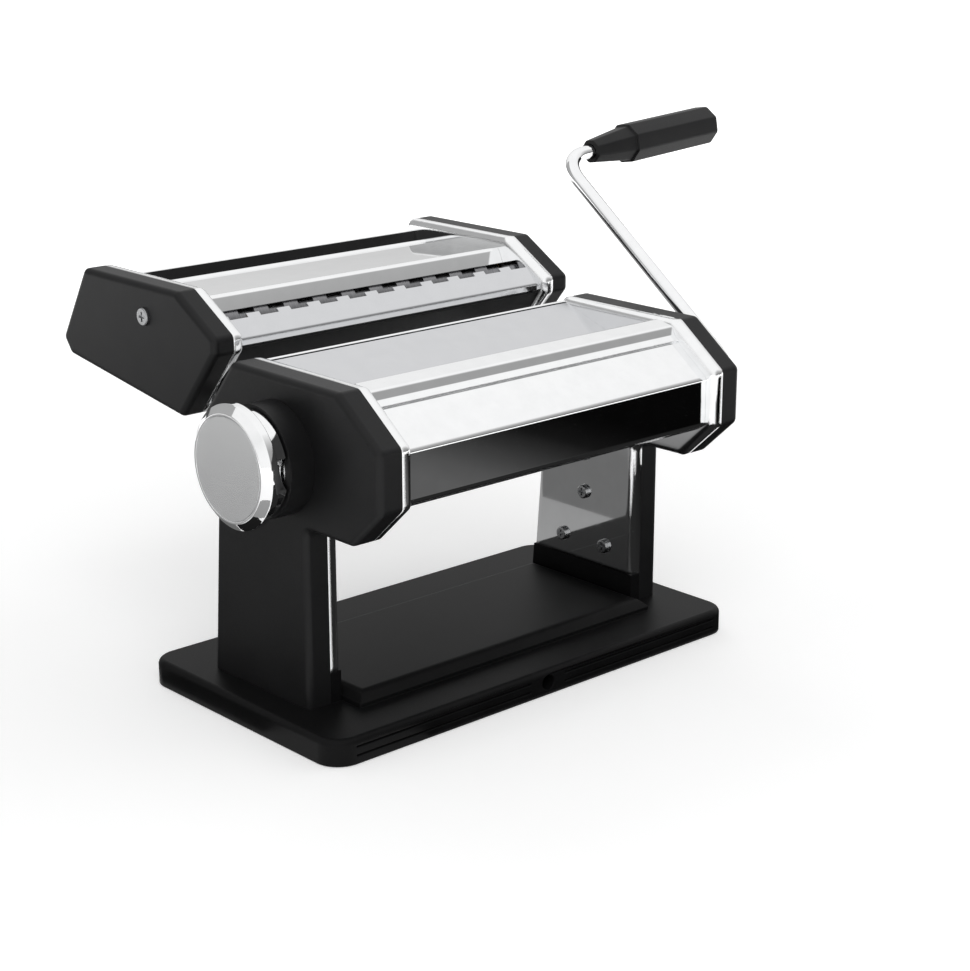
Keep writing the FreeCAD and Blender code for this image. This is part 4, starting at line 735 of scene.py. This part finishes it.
mirror_card("front_card", oblong(0.08, -0.46, 0.6, -0.24), (0.15, 0.3),
            (0.11, 0.088, 0.054, 0.027, 0.008, 0.004, 0.002))
mirror_card("near_card", oblong(-0.06, -0.24, 0.31, 0.02), (0.11, 0.3), (0.02, 0.01))
mirror_card("left_card", oblong(-0.55, 0.062, -0.02, 0.5), (-0.36, -0.1), (0.42, 0.36, 0.15))
mirror_card("rear_card", oblong(-0.02, 0.062, 0.3, 0.5), (-0.02, 0.05), (0.3, 0.34))
mirror_card("knob_card", oblong(-0.157, -0.015, -0.1045, 0.06), (-0.16, -0.1), (0.012, 0.008))
mirror_card("bevel_card", oblong(-0.214, -0.08, -0.157, 0.03), (-0.214, -0.157), (0.34, 0.3))
mirror_card("high_card", oblong(-1.2, 0.28, 0.1, 3.4), (-1.2, 0.1), (0.42, 0.4), HIGH_CARD_HEIGHT)

# %% [markdown]
# The world is plain white to the camera. Mirrors see a studio that is white overhead, grey lower
# down and dark along the horizon, which draws the thin black lines along the chrome's bends. In
# front and to the right it is darker. To the left of the front, where the camera stands, it is
# bright down to the floor, which keeps the knob's bevel light. Matt surfaces get an even light.

# %% World
STUDIO_TONES = ((0.0, 0.06), (0.05, 0.1), (0.1, 0.5), (0.16, 0.74), (0.3, 0.86), (0.6, 0.95),
                (0.74, 1.0))
LEFT_FRONT, HORIZON_LIFT = (-1.05, -1.35), (0, 0.75)
RIGHT_LEAN = -0.5
RIGHT_FRONT, FRONT_LIGHT = (-0.98, -0.62), (0.42, 1.0)
MATT_LIGHT = 0.55
WHITE = (1, 1, 1, 1)


def mirrored_studio(tree):
    """The light that mirrors see in each direction."""
    direction = add(tree, "ShaderNodeTexCoord").outputs["Generated"]
    axes = add(tree, "ShaderNodeSeparateXYZ", {"Vector": direction})
    x, y, z = (axes.outputs[axis] for axis in "XYZ")
    lift = rescaled(tree, reckoned(tree, "ADD", x, y), LEFT_FRONT, HORIZON_LIFT)
    right_front = reckoned(tree, "MULTIPLY_ADD", x, RIGHT_LEAN, y)
    studio = add(tree, "ShaderNodeBackground", {
        "Color": grey_ramp(tree, reckoned(tree, "ADD", z, lift), STUDIO_TONES),
        "Strength": rescaled(tree, right_front, RIGHT_FRONT, FRONT_LIGHT)})
    return studio.outputs["Background"]


def bright_studio():
    world = bpy.data.worlds.new("bright_studio")
    bpy.context.scene.world = world
    world.use_nodes = True
    tree = world.node_tree
    white = tree.nodes["Background"]
    white.inputs["Color"].default_value = WHITE
    white.inputs["Strength"].default_value = 1.0
    even = add(tree, "ShaderNodeBackground", {"Color": WHITE, "Strength": MATT_LIGHT})
    ray = add(tree, "ShaderNodeLightPath").outputs
    matt_or_mirror = add(tree, "ShaderNodeMixShader", {
        0: ray["Is Glossy Ray"], 1: even.outputs["Background"], 2: mirrored_studio(tree)})
    seen = reckoned(tree, "MAXIMUM", ray["Is Camera Ray"], ray["Is Transmission Ray"])
    all_rays = add(tree, "ShaderNodeMixShader", {
        0: seen, 1: matt_or_mirror.outputs["Shader"], 2: white.outputs["Background"]})
    tree.links.new(all_rays.outputs["Shader"], tree.nodes["World Output"].inputs["Surface"])
    return world


print(bright_studio().name, "has", len(STUDIO_TONES), "tones from the horizon up")

# %% [markdown]
# Three large soft lamps. The main one is high on the left, the others fill in from the right
# and from behind. Together with the world they light matt white to about white. Mirrors don't
# see them, so no lamp shows as a blot on the chrome.

# %% Lamps
LAMP_TARGET = Vector((0, 0, 0.09))


def soft_lamp(name, place, side, watts):
    light = bpy.data.lights.new(name, "AREA")
    light.size = side
    light.energy = watts
    lamp = bpy.data.objects.new(name, light)
    lamp.location = place
    lamp.rotation_euler = (LAMP_TARGET - lamp.location).to_track_quat("-Z", "Y").to_euler()
    lamp.visible_glossy = False
    bpy.context.scene.collection.objects.link(lamp)
    print(name, watts, "W")


soft_lamp("main_lamp", (-0.8, -1.0, 1.5), side=1.2, watts=11.0)
soft_lamp("right_lamp", (1.3, -0.5, 1.1), side=1.0, watts=3.5)
soft_lamp("rear_lamp", (0.2, 1.4, 1.3), side=1.0, watts=4.0)

# %% [markdown]
# The camera stands to the left of the front, a little above the machine, with a long lens. Its
# place was worked out from the machine's own edges.

# %% Camera
SENSOR_WIDTH_MM = 36.0
FOCAL_LENGTH_MM = 77.51
CAMERA_PLACE = Vector((-515.2, -584.8, 308.9)) * MM
CAMERA_AIM = Vector((0.6455, 0.7053, -0.2929))


def aimed_camera():
    lens = bpy.data.cameras.new("view")
    lens.sensor_width = SENSOR_WIDTH_MM
    lens.lens = FOCAL_LENGTH_MM
    camera = bpy.data.objects.new("view", lens)
    camera.location = CAMERA_PLACE
    camera.rotation_euler = CAMERA_AIM.to_track_quat("-Z", "Y").to_euler()
    bpy.context.scene.collection.objects.link(camera)
    bpy.context.scene.camera = camera
    return camera


camera = aimed_camera()
bpy.context.scene.view_settings.view_transform = "Standard"
print("camera", round(camera.location.length, 3), "m from the middle of the base")
